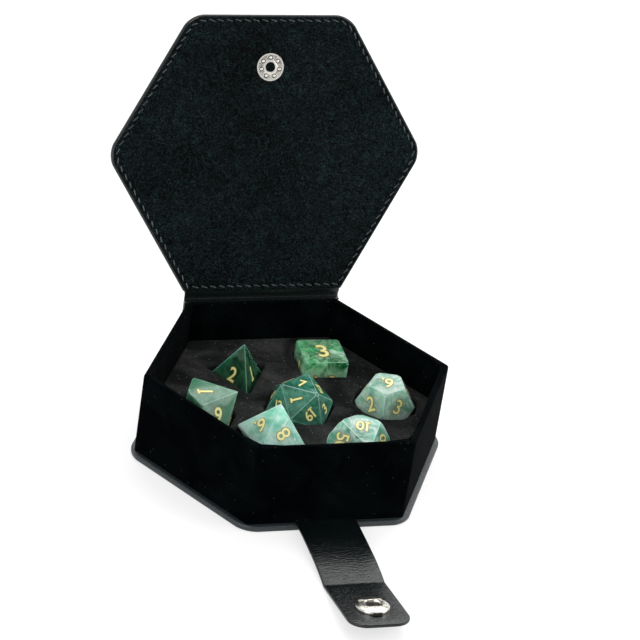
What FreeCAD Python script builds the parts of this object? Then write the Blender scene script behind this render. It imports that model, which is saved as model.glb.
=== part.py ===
"""Hexagonal dice case: velvet tray, flocked foam insert, leather lid, snap strap and seven dice.

Millimetres. X runs along the hinge, -Y is the front with the strap, +Z is up.
The origin is the middle of the underside. The lid stands open and the strap lies in front.
"""
import FreeCAD, Part
import math
import os

# ---------------------------------------------------------------- driving dimensions
# tray
TRAY_SIDE = 58.0              # outer side of the hexagonal tray
WALL_HEIGHT = 31.7            # from the base's top to the rim
WALL_BOARD = 1.65             # greyboard of each wall
VELVET = 0.4                  # velvet glued round the wall boards
VELVET_EDGE = 0.7             # roundness of the velvet at the rim
VELVET_CORNER = 1.4           # roundness of the tray's upright corners
MITRE_GAP = 0.2               # between two neighbouring wall boards

# base panel: leather below and round the edge, board, leather liner on top
BASE_MARGIN = 1.9             # how far the base stands out round the tray
BASE_LEATHER = 0.5
BASE_BOARD = 1.5
BASE_LINER = 0.3
BASE_CORNER = 9.0             # the four corners away from the hinge
BASE_HINGE_CORNER = 1.5       # the two corners beside the hinge

# foam insert
FOAM_DROP = 15.4              # the foam's top lies this far below the rim
FOAM_FIT = 0.2                # between the foam and the tray's lining
FOAM_EDGE = 0.8               # rounded top edge
POCKET_FIT = 0.5              # between a die and the side of its pocket
POCKET_REST = 0.05            # between a die's lowest point and its pocket's floor

# spine behind the rear wall, as wide as the base's rear edge
SPINE_BOARD = 1.1
SPINE_LEATHER = 0.5

# lid: a hexagon a little wider across its corners than a regular one
LID_SIDE = 61.2               # hinge side and front side
LID_WIDTH = 122.2             # corner to corner along the hinge
LID_DEPTH = 103.2             # from the hinge side to the front side
LID_BOARD = 1.6
LID_LEATHER = 0.6             # outer leather, rolled round the board's edge
LID_EDGE = 0.3                # roundness of the leather's outer edge
LID_LINER = 0.4               # grained lining on the inner face
LID_CORNER = 9.0              # the four corners away from the hinge
LID_HINGE_CORNER = 1.5        # the two corners beside the hinge
LID_OPEN = 110.3              # degrees from closed

# leather hinge: the outer leather bends level with the outside of the spine
LID_SHUT_GAP = 0.15           # between the closed lid and the rim
HINGE_GAP = 0.8               # bare leather between the hinge line and the lid's edge
HINGE_LEATHER = 0.3           # skived leather of the hinge strip
HINGE_CLEAR = 0.4             # from the hinge line to the lid's half of the strip
SPINE_CLEAR = 0.3             # from the hinge line down to the spine's leather

# stitching round the lid
STITCH_INSET = 2.2
STITCH_THREAD = 0.5           # width of the thread
STITCH_SINK = 0.25            # how deep the thread lies in the leather

# strap
STRAP_WIDTH = 22.3
STRAP_PLY = 0.6               # each of its two plies
STRAP_TAB = 14.0              # length glued on the base, under the front wall and the foam
STRAP_TAB_THICK = 0.8         # skived end on the base
STRAP_SIDE_FIT = 0.2          # beside the strap in the wall and the foam
STRAP_ROOT_CLEAR = 0.35       # from the base's edge to the strap's root fold
STRAP_RISE_CLEAR = 0.5        # between the closed lid's front edge and the strap's fold
STRAP_LID_CLEAR = 0.6         # between the closed lid's top and the strap's fold
STRAP_TIP = 13.2              # from the snap's centre to the strap's tip
STRAP_TIP_CORNER = 6.5
STRAP_LIFT = 10.5             # degrees that the flap rises off the table
STRAP_SNAP_TILT = 6.0         # degrees that the flap rises from its fold to the snap when closed
STRAP_REST_CLEAR = 0.03       # between the fold and the table
FOLD_HALF_GAP = 0.15          # from a fold's axis to each strap section

# snap fastener
SNAP_SETBACK = 19.2           # snap centre from the lid's front edge
SOCKET_RADIUS = 6.2
SOCKET_HEIGHT = 1.9
SOCKET_MOUTH = 2.95           # radius of the socket's mouth
SOCKET_FLOOR = 0.3
SOCKET_EDGE = 0.6
SOCKET_SLOT_LENGTH = 9.0
SOCKET_SLOT_WIDTH = 6.2
SOCKET_SLOT_DEPTH = 0.75
WIRE_RADIUS = 0.2
WIRE_OFFSET = 2.65
WIRE_LENGTH = 8.0
CAP_RADIUS = 6.2
CAP_HEIGHT = 1.5
CAP_RIM = 0.5                 # height of the cap's straight rim
POST_RADIUS = 1.6
POST_BORE = 1.2
STUD_FLANGE_RADIUS = 5.0
STUD_FLANGE = 0.4
STUD_PROUD = 0.12             # how far the stud's flange stands out of the lid
STUD_NECK_RADIUS = 2.0
STUD_NECK = 0.9
STUD_HEAD_RADIUS = 2.3
STUD_HEAD = 0.9
STUD_ROOF = 0.4               # solid metal over the bore of the stud
EYELET_RADIUS = 5.3
EYELET_FLANGE = 0.5
EYELET_PROUD = 0.1
EYELET_MOUTH = 1.7            # radius of the rolled mouth
BOSS_COUNT = 7                # round bosses on the eyelet's face
BOSS_RING = 3.3
BOSS_RADIUS = 0.95
BOSS_RISE = 0.35

# dice: edge or radius of each shape
D4_EDGE = 21.8
D6_WIDTH = 16.4
D8_EDGE = 19.2
D10_POLE = 12.5               # centre to pole
D10_WAIST = 12.8              # centre to a corner of the waist, seen along the poles
D12_EDGE = 8.5
D20_EDGE = 13.9
CORNER_REACH = 0.96           # how much of a die's corner is left after tumbling

# where each die lies: its middle, the depth of its lowest point under the foam's top, and its turns of
# yaw, pitch and roll in degrees. Four dice are set out from the middle of the tray.
D4_X = -14.1
D4_Y = 22.5
D4_SINK = 4.5
D4_TURNS = (0.0, 0.0, 0.0)
D8_X = -14.0
D8_Y = -21.4
D8_SINK = 11.9
D8_TURNS = (-124.0, -9.0, 176.5)
D10_X = -32.9
D10_Y = -2.8
D10_SINK = 8.0
D10_TURNS = (-102.0, -3.6, -50.4)
D20_X = 2.0
D20_Y = -0.5
D20_SINK = 11.2
D20_TURNS = (20.4, -35.9, -44.0)
# The three beside the walls are set in from the tray's lining, along a bearing from +X.
D6_BEARING = 56.2
D6_INSET = 19.9
D6_SINK = 10.6
D6_TURNS = (-2.5, 0.0, 0.0)
D12_BEARING = 0.9
D12_INSET = 18.9
D12_SINK = 11.0
D12_TURNS = (66.3, 26.5, -3.7)
PERCENTILE_BEARING = 294.5
PERCENTILE_INSET = 16.0
PERCENTILE_SINK = 7.7
PERCENTILE_TURNS = (138.3, -44.2, 141.6)

# ---------------------------------------------------------------- worked out from them
ROOT3 = math.sqrt(3.0)
GOLDEN = (1.0 + math.sqrt(5.0)) / 2.0
REACH = 1.0                   # how far a cutting tool runs past the face it leaves

TRAY_APOTHEM = TRAY_SIDE * ROOT3 / 2.0
WALL = WALL_BOARD + 2.0 * VELVET
BASE_APOTHEM = TRAY_APOTHEM + BASE_MARGIN
BASE_SIDE = BASE_APOTHEM * 2.0 / ROOT3
BOARD_TOP = BASE_LEATHER + BASE_BOARD
BASE_TOP = BOARD_TOP + BASE_LINER
RIM = BASE_TOP + WALL_HEIGHT
LINING_SIDE = TRAY_SIDE - WALL * 2.0 / ROOT3
FOAM_TOP = RIM - FOAM_DROP

SPINE_BACK = TRAY_APOTHEM + SPINE_BOARD + SPINE_LEATHER
LID_FACE = RIM + LID_SHUT_GAP
HINGE_Y = SPINE_BACK
HINGE_Z = LID_FACE + LID_LINER + LID_BOARD
LID_REAR = HINGE_Y - HINGE_GAP
LID_MIDDLE = LID_REAR - LID_DEPTH / 2.0
LID_FRONT = LID_REAR - LID_DEPTH
LID_TOP = HINGE_Z + LID_LEATHER
SNAP_Y = LID_FRONT + SNAP_SETBACK

STRAP_THICK = 2.0 * STRAP_PLY
ROOT_Y = -(BASE_APOTHEM + STRAP_ROOT_CLEAR)
ROOT_Z = BASE_TOP + STRAP_TAB_THICK
FOLD_CLOSED_Y = LID_FRONT - STRAP_RISE_CLEAR
FOLD_CLOSED_Z = LID_TOP + STRAP_LID_CLEAR
RISER_LENGTH = math.hypot(FOLD_CLOSED_Y - ROOT_Y, FOLD_CLOSED_Z - ROOT_Z)
RISER_LEAN = math.degrees(math.atan2(ROOT_Y - FOLD_CLOSED_Y, FOLD_CLOSED_Z - ROOT_Z))
FOLD_Z = STRAP_THICK + STRAP_REST_CLEAR
RISER_DROP = math.degrees(math.asin((ROOT_Z - FOLD_Z) / RISER_LENGTH))
FOLD_Y = ROOT_Y - RISER_LENGTH * math.cos(math.radians(RISER_DROP))
STUD_TOP = LID_TOP + STUD_PROUD + STUD_NECK + STUD_HEAD
SNAP_REACH = (SNAP_Y - FOLD_CLOSED_Y) * math.cos(math.radians(STRAP_SNAP_TILT)) + (
    (LID_TOP + STUD_TOP) / 2.0 - FOLD_CLOSED_Z
) * math.sin(math.radians(STRAP_SNAP_TILT))
FLAP_LENGTH = SNAP_REACH + STRAP_TIP

X_AXIS = FreeCAD.Vector(1, 0, 0)
Z_AXIS = FreeCAD.Vector(0, 0, 1)

parts = {}


# ---------------------------------------------------------------- plain shapes
def vec(x, y, z):
    """A point or direction."""
    return FreeCAD.Vector(x, y, z)


def block(x0, x1, y0, y1, z0, z1):
    """A box between two corners."""
    return Part.makeBox(x1 - x0, y1 - y0, z1 - z0, vec(x0, y0, z0))


def disc(radius, z0, z1, y=0.0):
    """An upright cylinder on the YZ plane."""
    return Part.makeCylinder(radius, z1 - z0, vec(0, y, z0), Z_AXIS)


def hexagon_corners(side):
    """The six corners of a hexagon with two sides along X."""
    return [
        (side * math.cos(math.radians(60 * k)), side * math.sin(math.radians(60 * k)))
        for k in range(6)
    ]


def prism(corners, z0, z1):
    """A closed outline of (x, y) corners raised from z0 to z1."""
    points = [vec(x, y, z0) for x, y in corners]
    face = Part.Face(Part.makePolygon(points + points[:1]))
    return face.extrude(vec(0, 0, z1 - z0))


def upright_edges(shape):
    """The edges of a shape that run along Z."""
    found = []
    for edge in shape.Edges:
        start, end = edge.Vertexes[0].Point, edge.Vertexes[-1].Point
        if abs(start.x - end.x) + abs(start.y - end.y) < 1e-6:
            found.append(edge)
    return found


def level_edges(shape, z):
    """The edges of a shape that lie in the plane at z."""
    return [e for e in shape.Edges if max(abs(e.BoundBox.ZMin - z), abs(e.BoundBox.ZMax - z)) < 1e-6]


def inset(corners, distance):
    """The corners of a convex anticlockwise outline drawn a distance inside another one."""
    lines = []
    for (ax, ay), (bx, by) in zip(corners, corners[1:] + corners[:1]):
        length = math.hypot(bx - ax, by - ay)
        nx, ny = (ay - by) / length, (bx - ax) / length
        lines.append((nx, ny, nx * ax + ny * ay + distance))
    moved = []
    for (ax, ay, ac), (bx, by, bc) in zip(lines[-1:] + lines[:-1], lines):
        cross = ax * by - ay * bx
        moved.append(((ac * by - bc * ay) / cross, (ax * bc - bx * ac) / cross))
    return moved


def plate(corners, z0, z1, radius, rear_radius):
    """A prism with rounded upright corners; the two corners farthest back have their own radius."""
    shape = prism(corners, z0, z1)
    back = shape.BoundBox.YMax - 1e-6
    shape = shape.makeFillet(radius, [e for e in upright_edges(shape) if e.BoundBox.YMax < back])
    if rear_radius > 0.0:
        shape = shape.makeFillet(rear_radius, [e for e in upright_edges(shape) if e.BoundBox.YMax > back])
    return shape


def hexagon_plate(side, corner, z0, z1):
    """A regular hexagonal plate with rounded upright corners."""
    return plate(hexagon_corners(side), z0, z1, corner, corner)


def base_plate(distance, z0, z1):
    """A slice of the base, drawn a distance inside its edge."""
    corners = inset(hexagon_corners(BASE_SIDE), distance)
    return plate(corners, z0, z1, BASE_CORNER - distance, BASE_HINGE_CORNER - distance)


def lid_plate(distance, z0, z1):
    """A slice of the closed lid, drawn a distance inside its edge."""
    wide, half, deep = LID_WIDTH / 2.0, LID_SIDE / 2.0, LID_DEPTH / 2.0
    quarter = [(wide, 0.0), (half, deep), (-half, deep)]
    around = [(x, LID_MIDDLE + y) for x, y in quarter] + [(-x, LID_MIDDLE - y) for x, y in quarter]
    return plate(inset(around, distance), z0, z1, LID_CORNER - distance, LID_HINGE_CORNER - distance)


def shrink(side, distance):
    """The side of a hexagon drawn a distance inside one of the given side."""
    return side - distance * 2.0 / ROOT3


def turned(shape, y, z, degrees):
    """A copy of a shape turned about a line along X through (y, z); positive lifts +Y towards +Z."""
    copy = shape.copy()
    copy.rotate(vec(0, y, z), X_AXIS, degrees)
    return copy


# ---------------------------------------------------------------- base panel
def build_base():
    """Leather below and round the edge, board, and leather on top with the strap's end glued to it."""
    leather = base_plate(0.0, 0.0, BOARD_TOP)
    parts["base_leather_wrap"] = leather.cut(base_plate(BASE_LEATHER, BASE_LEATHER, BOARD_TOP + REACH))
    parts["base_board"] = base_plate(BASE_LEATHER, BASE_LEATHER, BOARD_TOP)
    parts["base_leather_top"] = base_plate(0.0, BOARD_TOP, BASE_TOP)
    parts["strap_root"] = strap_tab(0.0)


def strap_tab(fit):
    """The strap's skived end on the base, widened and lengthened by a fit."""
    half = STRAP_WIDTH / 2.0 + fit
    back = -BASE_APOTHEM + STRAP_TAB + fit
    return block(-half, half, -BASE_APOTHEM, back, BASE_TOP, BASE_TOP + STRAP_TAB_THICK)


# ---------------------------------------------------------------- tray
WALL_NAMES = ("rear_right", "rear", "rear_left", "front_left", "front", "front_right")


def build_tray():
    """Six mitred wall boards inside one velvet wrap, notched over the strap's end."""
    notch = strap_tab(STRAP_SIDE_FIT)
    board_outer = shrink(TRAY_SIDE, VELVET)
    board_inner = shrink(board_outer, WALL_BOARD)
    board_top = RIM - VELVET
    for index, name in enumerate(WALL_NAMES):
        bearing = math.radians(30 + 60 * index)
        normal = (math.cos(bearing), math.sin(bearing))
        along = (-math.sin(bearing), math.cos(bearing))
        corners = []
        for side, ends in ((board_outer, (-1, 1)), (board_inner, (1, -1))):
            reach = side * ROOT3 / 2.0
            half = (side - MITRE_GAP) / 2.0
            for end in ends:
                x = reach * normal[0] + end * half * along[0]
                y = reach * normal[1] + end * half * along[1]
                corners.append((x, y))
        parts["wall_board_" + name] = prism(corners, BASE_TOP, board_top).cut(notch)
    wrap = hexagon_plate(TRAY_SIDE, VELVET_CORNER, BASE_TOP, RIM)
    wrap = wrap.cut(hexagon_plate(LINING_SIDE, VELVET_CORNER, BASE_TOP - REACH, RIM + REACH))
    wrap = wrap.makeFillet(VELVET_EDGE, level_edges(wrap, RIM))
    channel = prism(hexagon_corners(board_outer), BASE_TOP - REACH, board_top)
    channel = channel.cut(prism(hexagon_corners(board_inner), BASE_TOP - 2 * REACH, RIM))
    parts["tray_velvet"] = wrap.cut(channel).cut(notch)


def build_spine():
    """Board and leather behind the rear wall, and the tray's half of the hinge strip over the board."""
    half = BASE_SIDE / 2.0
    board_back = TRAY_APOTHEM + SPINE_BOARD
    strip_low = RIM - HINGE_LEATHER
    leather_top = HINGE_Z - SPINE_CLEAR
    parts["spine_board"] = block(-half, half, TRAY_APOTHEM, board_back, BASE_TOP, strip_low)
    parts["spine_leather"] = block(-half, half, board_back, SPINE_BACK, BASE_TOP, leather_top)
    parts["hinge_strip_lower"] = block(-half, half, TRAY_APOTHEM, board_back, strip_low, RIM)


# ---------------------------------------------------------------- dice
def signed(values):
    """Every way of giving the values a sign, without repeats."""
    points = {()}
    for value in values:
        points = {p + (s * value,) for p in points for s in ((1, -1) if value else (1,))}
    return sorted(points)


def tetrahedron(edge):
    """Corners of a tetrahedron standing on a face, with one corner of that face to the front."""
    rise = edge * math.sqrt(2.0 / 3.0)
    ring = edge / ROOT3
    base = []
    for bearing in (-90, 30, 150):
        angle = math.radians(bearing)
        base.append((ring * math.cos(angle), ring * math.sin(angle), -rise / 4.0))
    return base + [(0.0, 0.0, 3.0 * rise / 4.0)]


def cube(width):
    """Corners of a cube."""
    return signed((width / 2.0,) * 3)


def octahedron(edge):
    """Corners of an octahedron."""
    reach = edge / math.sqrt(2.0)
    return [p for k in range(3) for p in signed(tuple(reach if i == k else 0.0 for i in range(3)))]


def trapezohedron(pole, waist):
    """Corners of the ten-sided die: two poles and a zigzag of ten round the waist."""
    ratio = math.cos(math.pi / 5.0)
    lift = pole * (1.0 - ratio) / (1.0 + ratio)
    ring = [
        (waist * math.cos(math.pi / 5.0 * k), waist * math.sin(math.pi / 5.0 * k), lift if k % 2 else -lift)
        for k in range(10)
    ]
    return ring + [(0.0, 0.0, pole), (0.0, 0.0, -pole)]


def dodecahedron(edge):
    """Corners of a dodecahedron."""
    unit = edge * GOLDEN / 2.0
    points = signed((unit, unit, unit))
    for x, y, z in signed((0.0, unit / GOLDEN, unit * GOLDEN)):
        points += [(x, y, z), (y, z, x), (z, x, y)]
    return points


def icosahedron(edge):
    """Corners of an icosahedron."""
    points = []
    for x, y, z in signed((0.0, edge / 2.0, edge * GOLDEN / 2.0)):
        points += [(x, y, z), (y, z, x), (z, x, y)]
    return points


def convex_solid(points):
    """The solid that a set of corners spans."""
    corners = [vec(*p) for p in points]
    size = max(c.Length for c in corners)
    faces = []
    planes = []
    for i in range(len(corners)):
        for j in range(i + 1, len(corners)):
            for k in range(j + 1, len(corners)):
                normal = (corners[j] - corners[i]).cross(corners[k] - corners[i])
                if normal.Length < 1e-9 * size:
                    continue
                normal.normalize()
                level = normal.dot(corners[i])
                if level < 0:
                    normal, level = normal * -1, -level
                if max(normal.dot(c) for c in corners) > level + 1e-6 * size:
                    continue
                if any(normal.dot(other) > 1 - 1e-9 for other in planes):
                    continue
                planes.append(normal)
                flat = [c for c in corners if abs(normal.dot(c) - level) < 1e-6 * size]
                middle = sum(flat, vec(0, 0, 0)) * (1.0 / len(flat))
                first = (flat[0] - middle).normalize()
                second = normal.cross(first)
                flat.sort(key=lambda c: math.atan2((c - middle).dot(second), (c - middle).dot(first)))
                faces.append(Part.Face(Part.makePolygon(flat + flat[:1])))
    return Part.makeSolid(Part.makeShell(faces))


def from_lining(bearing, inset_distance):
    """The point set in from the tray's lining along a bearing from +X."""
    off_normal = math.radians((bearing % 60.0) - 30.0)
    reach = LINING_SIDE * ROOT3 / 2.0 / math.cos(off_normal) - inset_distance
    return reach * math.cos(math.radians(bearing)), reach * math.sin(math.radians(bearing))


# each die's corners, the point of its middle, its sink and its turns
DICE = {
    "d4": (tetrahedron(D4_EDGE), (D4_X, D4_Y), D4_SINK, D4_TURNS),
    "d6": (cube(D6_WIDTH), from_lining(D6_BEARING, D6_INSET), D6_SINK, D6_TURNS),
    "d8": (octahedron(D8_EDGE), (D8_X, D8_Y), D8_SINK, D8_TURNS),
    "d10": (trapezohedron(D10_POLE, D10_WAIST), (D10_X, D10_Y), D10_SINK, D10_TURNS),
    "d12": (dodecahedron(D12_EDGE), from_lining(D12_BEARING, D12_INSET), D12_SINK, D12_TURNS),
    "percentile": (
        trapezohedron(D10_POLE, D10_WAIST),
        from_lining(PERCENTILE_BEARING, PERCENTILE_INSET),
        PERCENTILE_SINK,
        PERCENTILE_TURNS,
    ),
    "d20": (icosahedron(D20_EDGE), (D20_X, D20_Y), D20_SINK, D20_TURNS),
}


def hull(points):
    """The convex outline of (x, y) points, anticlockwise."""
    ordered = sorted(set(points))

    def half(run):
        chain = []
        for p in run:
            while len(chain) > 1:
                (ax, ay), (bx, by) = chain[-2], chain[-1]
                if (bx - ax) * (p[1] - ay) - (by - ay) * (p[0] - ax) > 1e-4:
                    break
                chain.pop()
            chain.append(p)
        return chain[:-1]

    return half(ordered) + half(ordered[::-1])


def build_dice_and_foam():
    """Seven dice, and the foam block with a pocket shaped to each."""
    foam_side = shrink(LINING_SIDE, FOAM_FIT)
    foam = hexagon_plate(foam_side, VELVET_CORNER, BASE_TOP, FOAM_TOP)
    foam = foam.makeFillet(FOAM_EDGE, level_edges(foam, FOAM_TOP))
    for name, (corners, (x, y), sink, turns) in DICE.items():
        rotation = FreeCAD.Rotation(*turns)
        spun = [rotation.multVec(vec(*c)) for c in corners]
        low = FOAM_TOP - sink
        die = convex_solid([(c.x, c.y, c.z) for c in spun])
        die = die.common(Part.makeSphere(CORNER_REACH * max(c.Length for c in spun)))
        die.translate(vec(x, y, low - die.optimalBoundingBox().ZMin))
        parts["die_" + name] = die
        outline = hull([(round(c.x + x, 4), round(c.y + y, 4)) for c in spun])
        points = [vec(px, py, low - POCKET_REST) for px, py in outline]
        ring = Part.makePolygon(points + points[:1]).makeOffset2D(POCKET_FIT)
        pocket = Part.Face(ring).extrude(vec(0, 0, sink + POCKET_REST + REACH))
        foam = foam.cut(pocket)
    parts["foam_insert"] = foam.cut(strap_tab(STRAP_SIDE_FIT))


# ---------------------------------------------------------------- lid, drawn closed and then opened
def stitch_ring(z0, z1):
    """A closed band of thread that follows the lid's outline."""
    hole = lid_plate(STITCH_INSET + STITCH_THREAD, z0 - REACH, z1 + REACH)
    return lid_plate(STITCH_INSET, z0, z1).cut(hole)


def build_eyelet(face, post_top):
    """The round eyelet on the lid's inner face, with its ring of bosses and the post of the snap."""
    low = face - EYELET_PROUD
    eyelet = disc(EYELET_RADIUS, low, low + EYELET_FLANGE, SNAP_Y)
    eyelet = eyelet.makeFillet(EYELET_FLANGE * 0.6, level_edges(eyelet, low))
    ball = (BOSS_RADIUS**2 + BOSS_RISE**2) / (2.0 * BOSS_RISE)
    below = disc(EYELET_RADIUS, low - BOSS_RISE - REACH, low + BOSS_RISE, SNAP_Y)
    for index in range(BOSS_COUNT):
        bearing = math.radians(90.0 + 360.0 / BOSS_COUNT * index)
        x = BOSS_RING * math.cos(bearing)
        y = SNAP_Y + BOSS_RING * math.sin(bearing)
        boss = Part.makeSphere(ball, vec(x, y, low - BOSS_RISE + ball))
        eyelet = eyelet.fuse(boss.common(below))
    eyelet = eyelet.fuse(disc(POST_RADIUS, low, post_top, SNAP_Y))
    eyelet = eyelet.cut(disc(POST_BORE, low - REACH, post_top + REACH, SNAP_Y))
    mouth = Part.makeCone(EYELET_MOUTH, POST_BORE, EYELET_MOUTH - POST_BORE, vec(0, SNAP_Y, low), Z_AXIS)
    return eyelet.cut(mouth).removeSplitter()


def build_stud(stud_low, post_top):
    """The snap's stud on the lid's outer face."""
    neck_low = LID_TOP + STUD_PROUD
    head_low = neck_low + STUD_NECK
    head_high = head_low + STUD_HEAD
    head = disc(STUD_HEAD_RADIUS, head_low, head_high, SNAP_Y)
    head = head.makeFillet(STUD_HEAD * 0.4, level_edges(head, head_low) + level_edges(head, head_high))
    stud = disc(STUD_FLANGE_RADIUS, stud_low, neck_low, SNAP_Y)
    stud = stud.fuse(disc(STUD_NECK_RADIUS, stud_low, head_low + STUD_HEAD / 2.0, SNAP_Y)).fuse(head)
    return stud.cut(disc(POST_RADIUS, stud_low - REACH, post_top, SNAP_Y)).removeSplitter()


def build_lid():
    """Leather shell, board, lining, stitching, snap stud, eyelet and the lid's half of the hinge strip."""
    face, top = LID_FACE, LID_TOP
    board_low = face + LID_LINER
    board_high = board_low + LID_BOARD
    stitches_in = stitch_ring(face, face + STITCH_SINK)
    stitches_out = stitch_ring(top - STITCH_SINK, top)
    post_hole = disc(POST_RADIUS, face - REACH, top + REACH, SNAP_Y)
    flange_seat = disc(EYELET_RADIUS, face - REACH, face + EYELET_FLANGE - EYELET_PROUD, SNAP_Y)
    stud_low = top + STUD_PROUD - STUD_FLANGE
    stud_seat = disc(STUD_FLANGE_RADIUS, stud_low, top + REACH, SNAP_Y)
    post_top = STUD_TOP - STUD_ROOF

    leather = lid_plate(0.0, face, top)
    leather = leather.makeFillet(LID_EDGE, level_edges(leather, top))
    leather = leather.cut(lid_plate(LID_LEATHER, face - REACH, board_high))
    board = lid_plate(LID_LEATHER, board_low, board_high)
    liner = lid_plate(LID_LEATHER, face, board_low)
    strip_half = BASE_SIDE / 2.0
    strip = block(-strip_half, strip_half, LID_REAR, HINGE_Y - HINGE_CLEAR, HINGE_Z, HINGE_Z + HINGE_LEATHER)
    closed = {
        "lid_leather": leather.cut(stitches_out).cut(post_hole).cut(stud_seat),
        "lid_board": board.cut(post_hole).cut(flange_seat),
        "lid_lining": liner.cut(stitches_in).cut(flange_seat),
        "lid_stitching": Part.makeCompound([stitches_in, stitches_out]),
        "lid_snap_eyelet": build_eyelet(face, post_top),
        "lid_snap_stud": build_stud(stud_low, post_top),
        "hinge_strip_upper": strip,
    }
    for name, shape in closed.items():
        parts[name] = turned(shape, HINGE_Y, HINGE_Z, -LID_OPEN)


# ---------------------------------------------------------------- strap
def strap_section(y0, y1, z0, z1, corner=0.0):
    """A length of one strap ply drawn flat along -Y, its far end rounded if a corner radius is given."""
    half = STRAP_WIDTH / 2.0
    section = block(-half, half, y1, y0, z0, z1)
    if corner:
        ends = [e for e in upright_edges(section) if abs(e.BoundBox.YMin - y1) < 1e-6]
        section = section.makeFillet(corner, ends)
    return section


def build_strap():
    """Riser and flap of two plies each, with the snap's socket, spring and cap on the flap."""
    root = (ROOT_Y, ROOT_Z)
    near = ROOT_Y - FOLD_HALF_GAP
    far = ROOT_Y - RISER_LENGTH + FOLD_HALF_GAP
    top, middle, low = ROOT_Z, ROOT_Z - STRAP_PLY, ROOT_Z - STRAP_THICK
    parts["strap_riser_lining"] = turned(strap_section(near, far, middle, top), *root, RISER_DROP)
    parts["strap_riser_leather"] = turned(strap_section(near, far, low, middle), *root, RISER_DROP)

    near = FOLD_Y - FOLD_HALF_GAP
    far = FOLD_Y - FLAP_LENGTH
    snap_y = FOLD_Y - SNAP_REACH
    top, middle, low = FOLD_Z, FOLD_Z - STRAP_PLY, FOLD_Z - STRAP_THICK
    hole = disc(POST_RADIUS, low - REACH, top + REACH, snap_y)
    lining = strap_section(near, far, middle, top, STRAP_TIP_CORNER).cut(hole)
    leather = strap_section(near, far, low, middle, STRAP_TIP_CORNER).cut(hole)

    socket = disc(SOCKET_RADIUS, top, top + SOCKET_HEIGHT, snap_y)
    socket = socket.makeFillet(SOCKET_EDGE, level_edges(socket, top + SOCKET_HEIGHT))
    socket = socket.cut(disc(SOCKET_MOUTH, top + SOCKET_FLOOR, top + SOCKET_HEIGHT + REACH, snap_y))
    slot_low = top + SOCKET_HEIGHT - SOCKET_SLOT_DEPTH
    half_length, half_width = SOCKET_SLOT_LENGTH / 2.0, SOCKET_SLOT_WIDTH / 2.0
    slot_front, slot_back = snap_y - half_width, snap_y + half_width
    slot = block(-half_length, half_length, slot_front, slot_back, slot_low, slot_low + REACH)
    socket = socket.cut(slot).cut(hole)

    wires = []
    for side in (-1, 1):
        start = vec(-WIRE_LENGTH / 2.0, snap_y + side * WIRE_OFFSET, slot_low + WIRE_RADIUS)
        wires.append(Part.makeCylinder(WIRE_RADIUS, WIRE_LENGTH, start, X_AXIS))

    cap = disc(CAP_RADIUS, low - CAP_HEIGHT, low, snap_y)
    dome_drop = CAP_HEIGHT - CAP_RIM
    cap = cap.makeChamfer(dome_drop, level_edges(cap, low - CAP_HEIGHT))
    cap = cap.fuse(disc(POST_RADIUS, low - CAP_RIM, top + SOCKET_FLOOR, snap_y)).removeSplitter()

    flat = {
        "strap_flap_lining": lining,
        "strap_flap_leather": leather,
        "strap_snap_socket": socket,
        "strap_snap_spring": Part.makeCompound(wires),
        "strap_snap_cap": cap,
    }
    for name, shape in flat.items():
        parts[name] = turned(shape, FOLD_Y, FOLD_Z, -STRAP_LIFT)


def report_motion():
    """Print the joint axes and travels that follow from the dimensions."""
    closed_root = 90.0 - RISER_LEAN + RISER_DROP
    closed_fold = 90.0 + RISER_LEAN - STRAP_SNAP_TILT - STRAP_LIFT - RISER_DROP
    cap_depth = STRAP_THICK + CAP_HEIGHT - FOLD_Z
    flat_fold = STRAP_LIFT - math.degrees(math.asin(cap_depth / (SNAP_REACH - CAP_RADIUS)))
    print("lid hinge", round(HINGE_Y, 4), round(HINGE_Z, 4), "closes", -LID_OPEN)
    print("strap root", round(ROOT_Y, 4), round(ROOT_Z, 4), "closes", round(-closed_root, 3))
    fold = (round(FOLD_Y, 4), round(FOLD_Z, 4))
    print("strap fold", *fold, "closes", round(-closed_fold, 3), "lies", round(flat_fold, 3))


build_base()
build_tray()
build_spine()
build_dice_and_foam()
build_lid()
build_strap()
report_motion()

os.makedirs("parts", exist_ok=True)
for node, shape in parts.items():
    shape.exportStep(os.path.join("parts", node + ".step"))
    print(node, len(shape.Solids), shape.isValid(), round(shape.Volume, 2))
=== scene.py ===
"""Looks of a hexagonal dice case: leather lid and base, velvet tray, foam, strap, seven dice."""

import logging
import math
from contextlib import contextmanager
from dataclasses import dataclass
from enum import Enum
from typing import Callable, Iterator, Optional, Sequence, Union

import bpy
from mathutils import Matrix, Vector


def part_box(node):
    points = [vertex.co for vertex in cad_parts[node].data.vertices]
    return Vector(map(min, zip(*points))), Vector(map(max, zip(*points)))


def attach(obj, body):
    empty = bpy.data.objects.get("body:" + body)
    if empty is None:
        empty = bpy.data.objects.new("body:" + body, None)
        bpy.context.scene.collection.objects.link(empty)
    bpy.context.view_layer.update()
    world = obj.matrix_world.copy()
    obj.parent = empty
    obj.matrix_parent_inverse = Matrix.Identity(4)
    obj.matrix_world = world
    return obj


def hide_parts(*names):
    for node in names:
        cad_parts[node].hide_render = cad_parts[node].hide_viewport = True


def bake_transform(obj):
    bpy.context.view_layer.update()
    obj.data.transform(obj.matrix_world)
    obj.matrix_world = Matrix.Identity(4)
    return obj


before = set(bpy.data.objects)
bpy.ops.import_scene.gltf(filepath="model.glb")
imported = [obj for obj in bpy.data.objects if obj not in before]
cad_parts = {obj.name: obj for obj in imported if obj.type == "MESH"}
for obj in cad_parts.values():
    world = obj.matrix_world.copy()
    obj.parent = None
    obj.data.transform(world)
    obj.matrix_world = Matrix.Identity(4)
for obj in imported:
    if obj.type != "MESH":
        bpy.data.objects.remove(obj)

LOG = logging.getLogger("dice_case")
MM = 0.001
HAIR = 1e-6  # places closer than this many metres count as one
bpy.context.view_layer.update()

Point = tuple[float, float]
Place = tuple[float, float, float]
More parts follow.
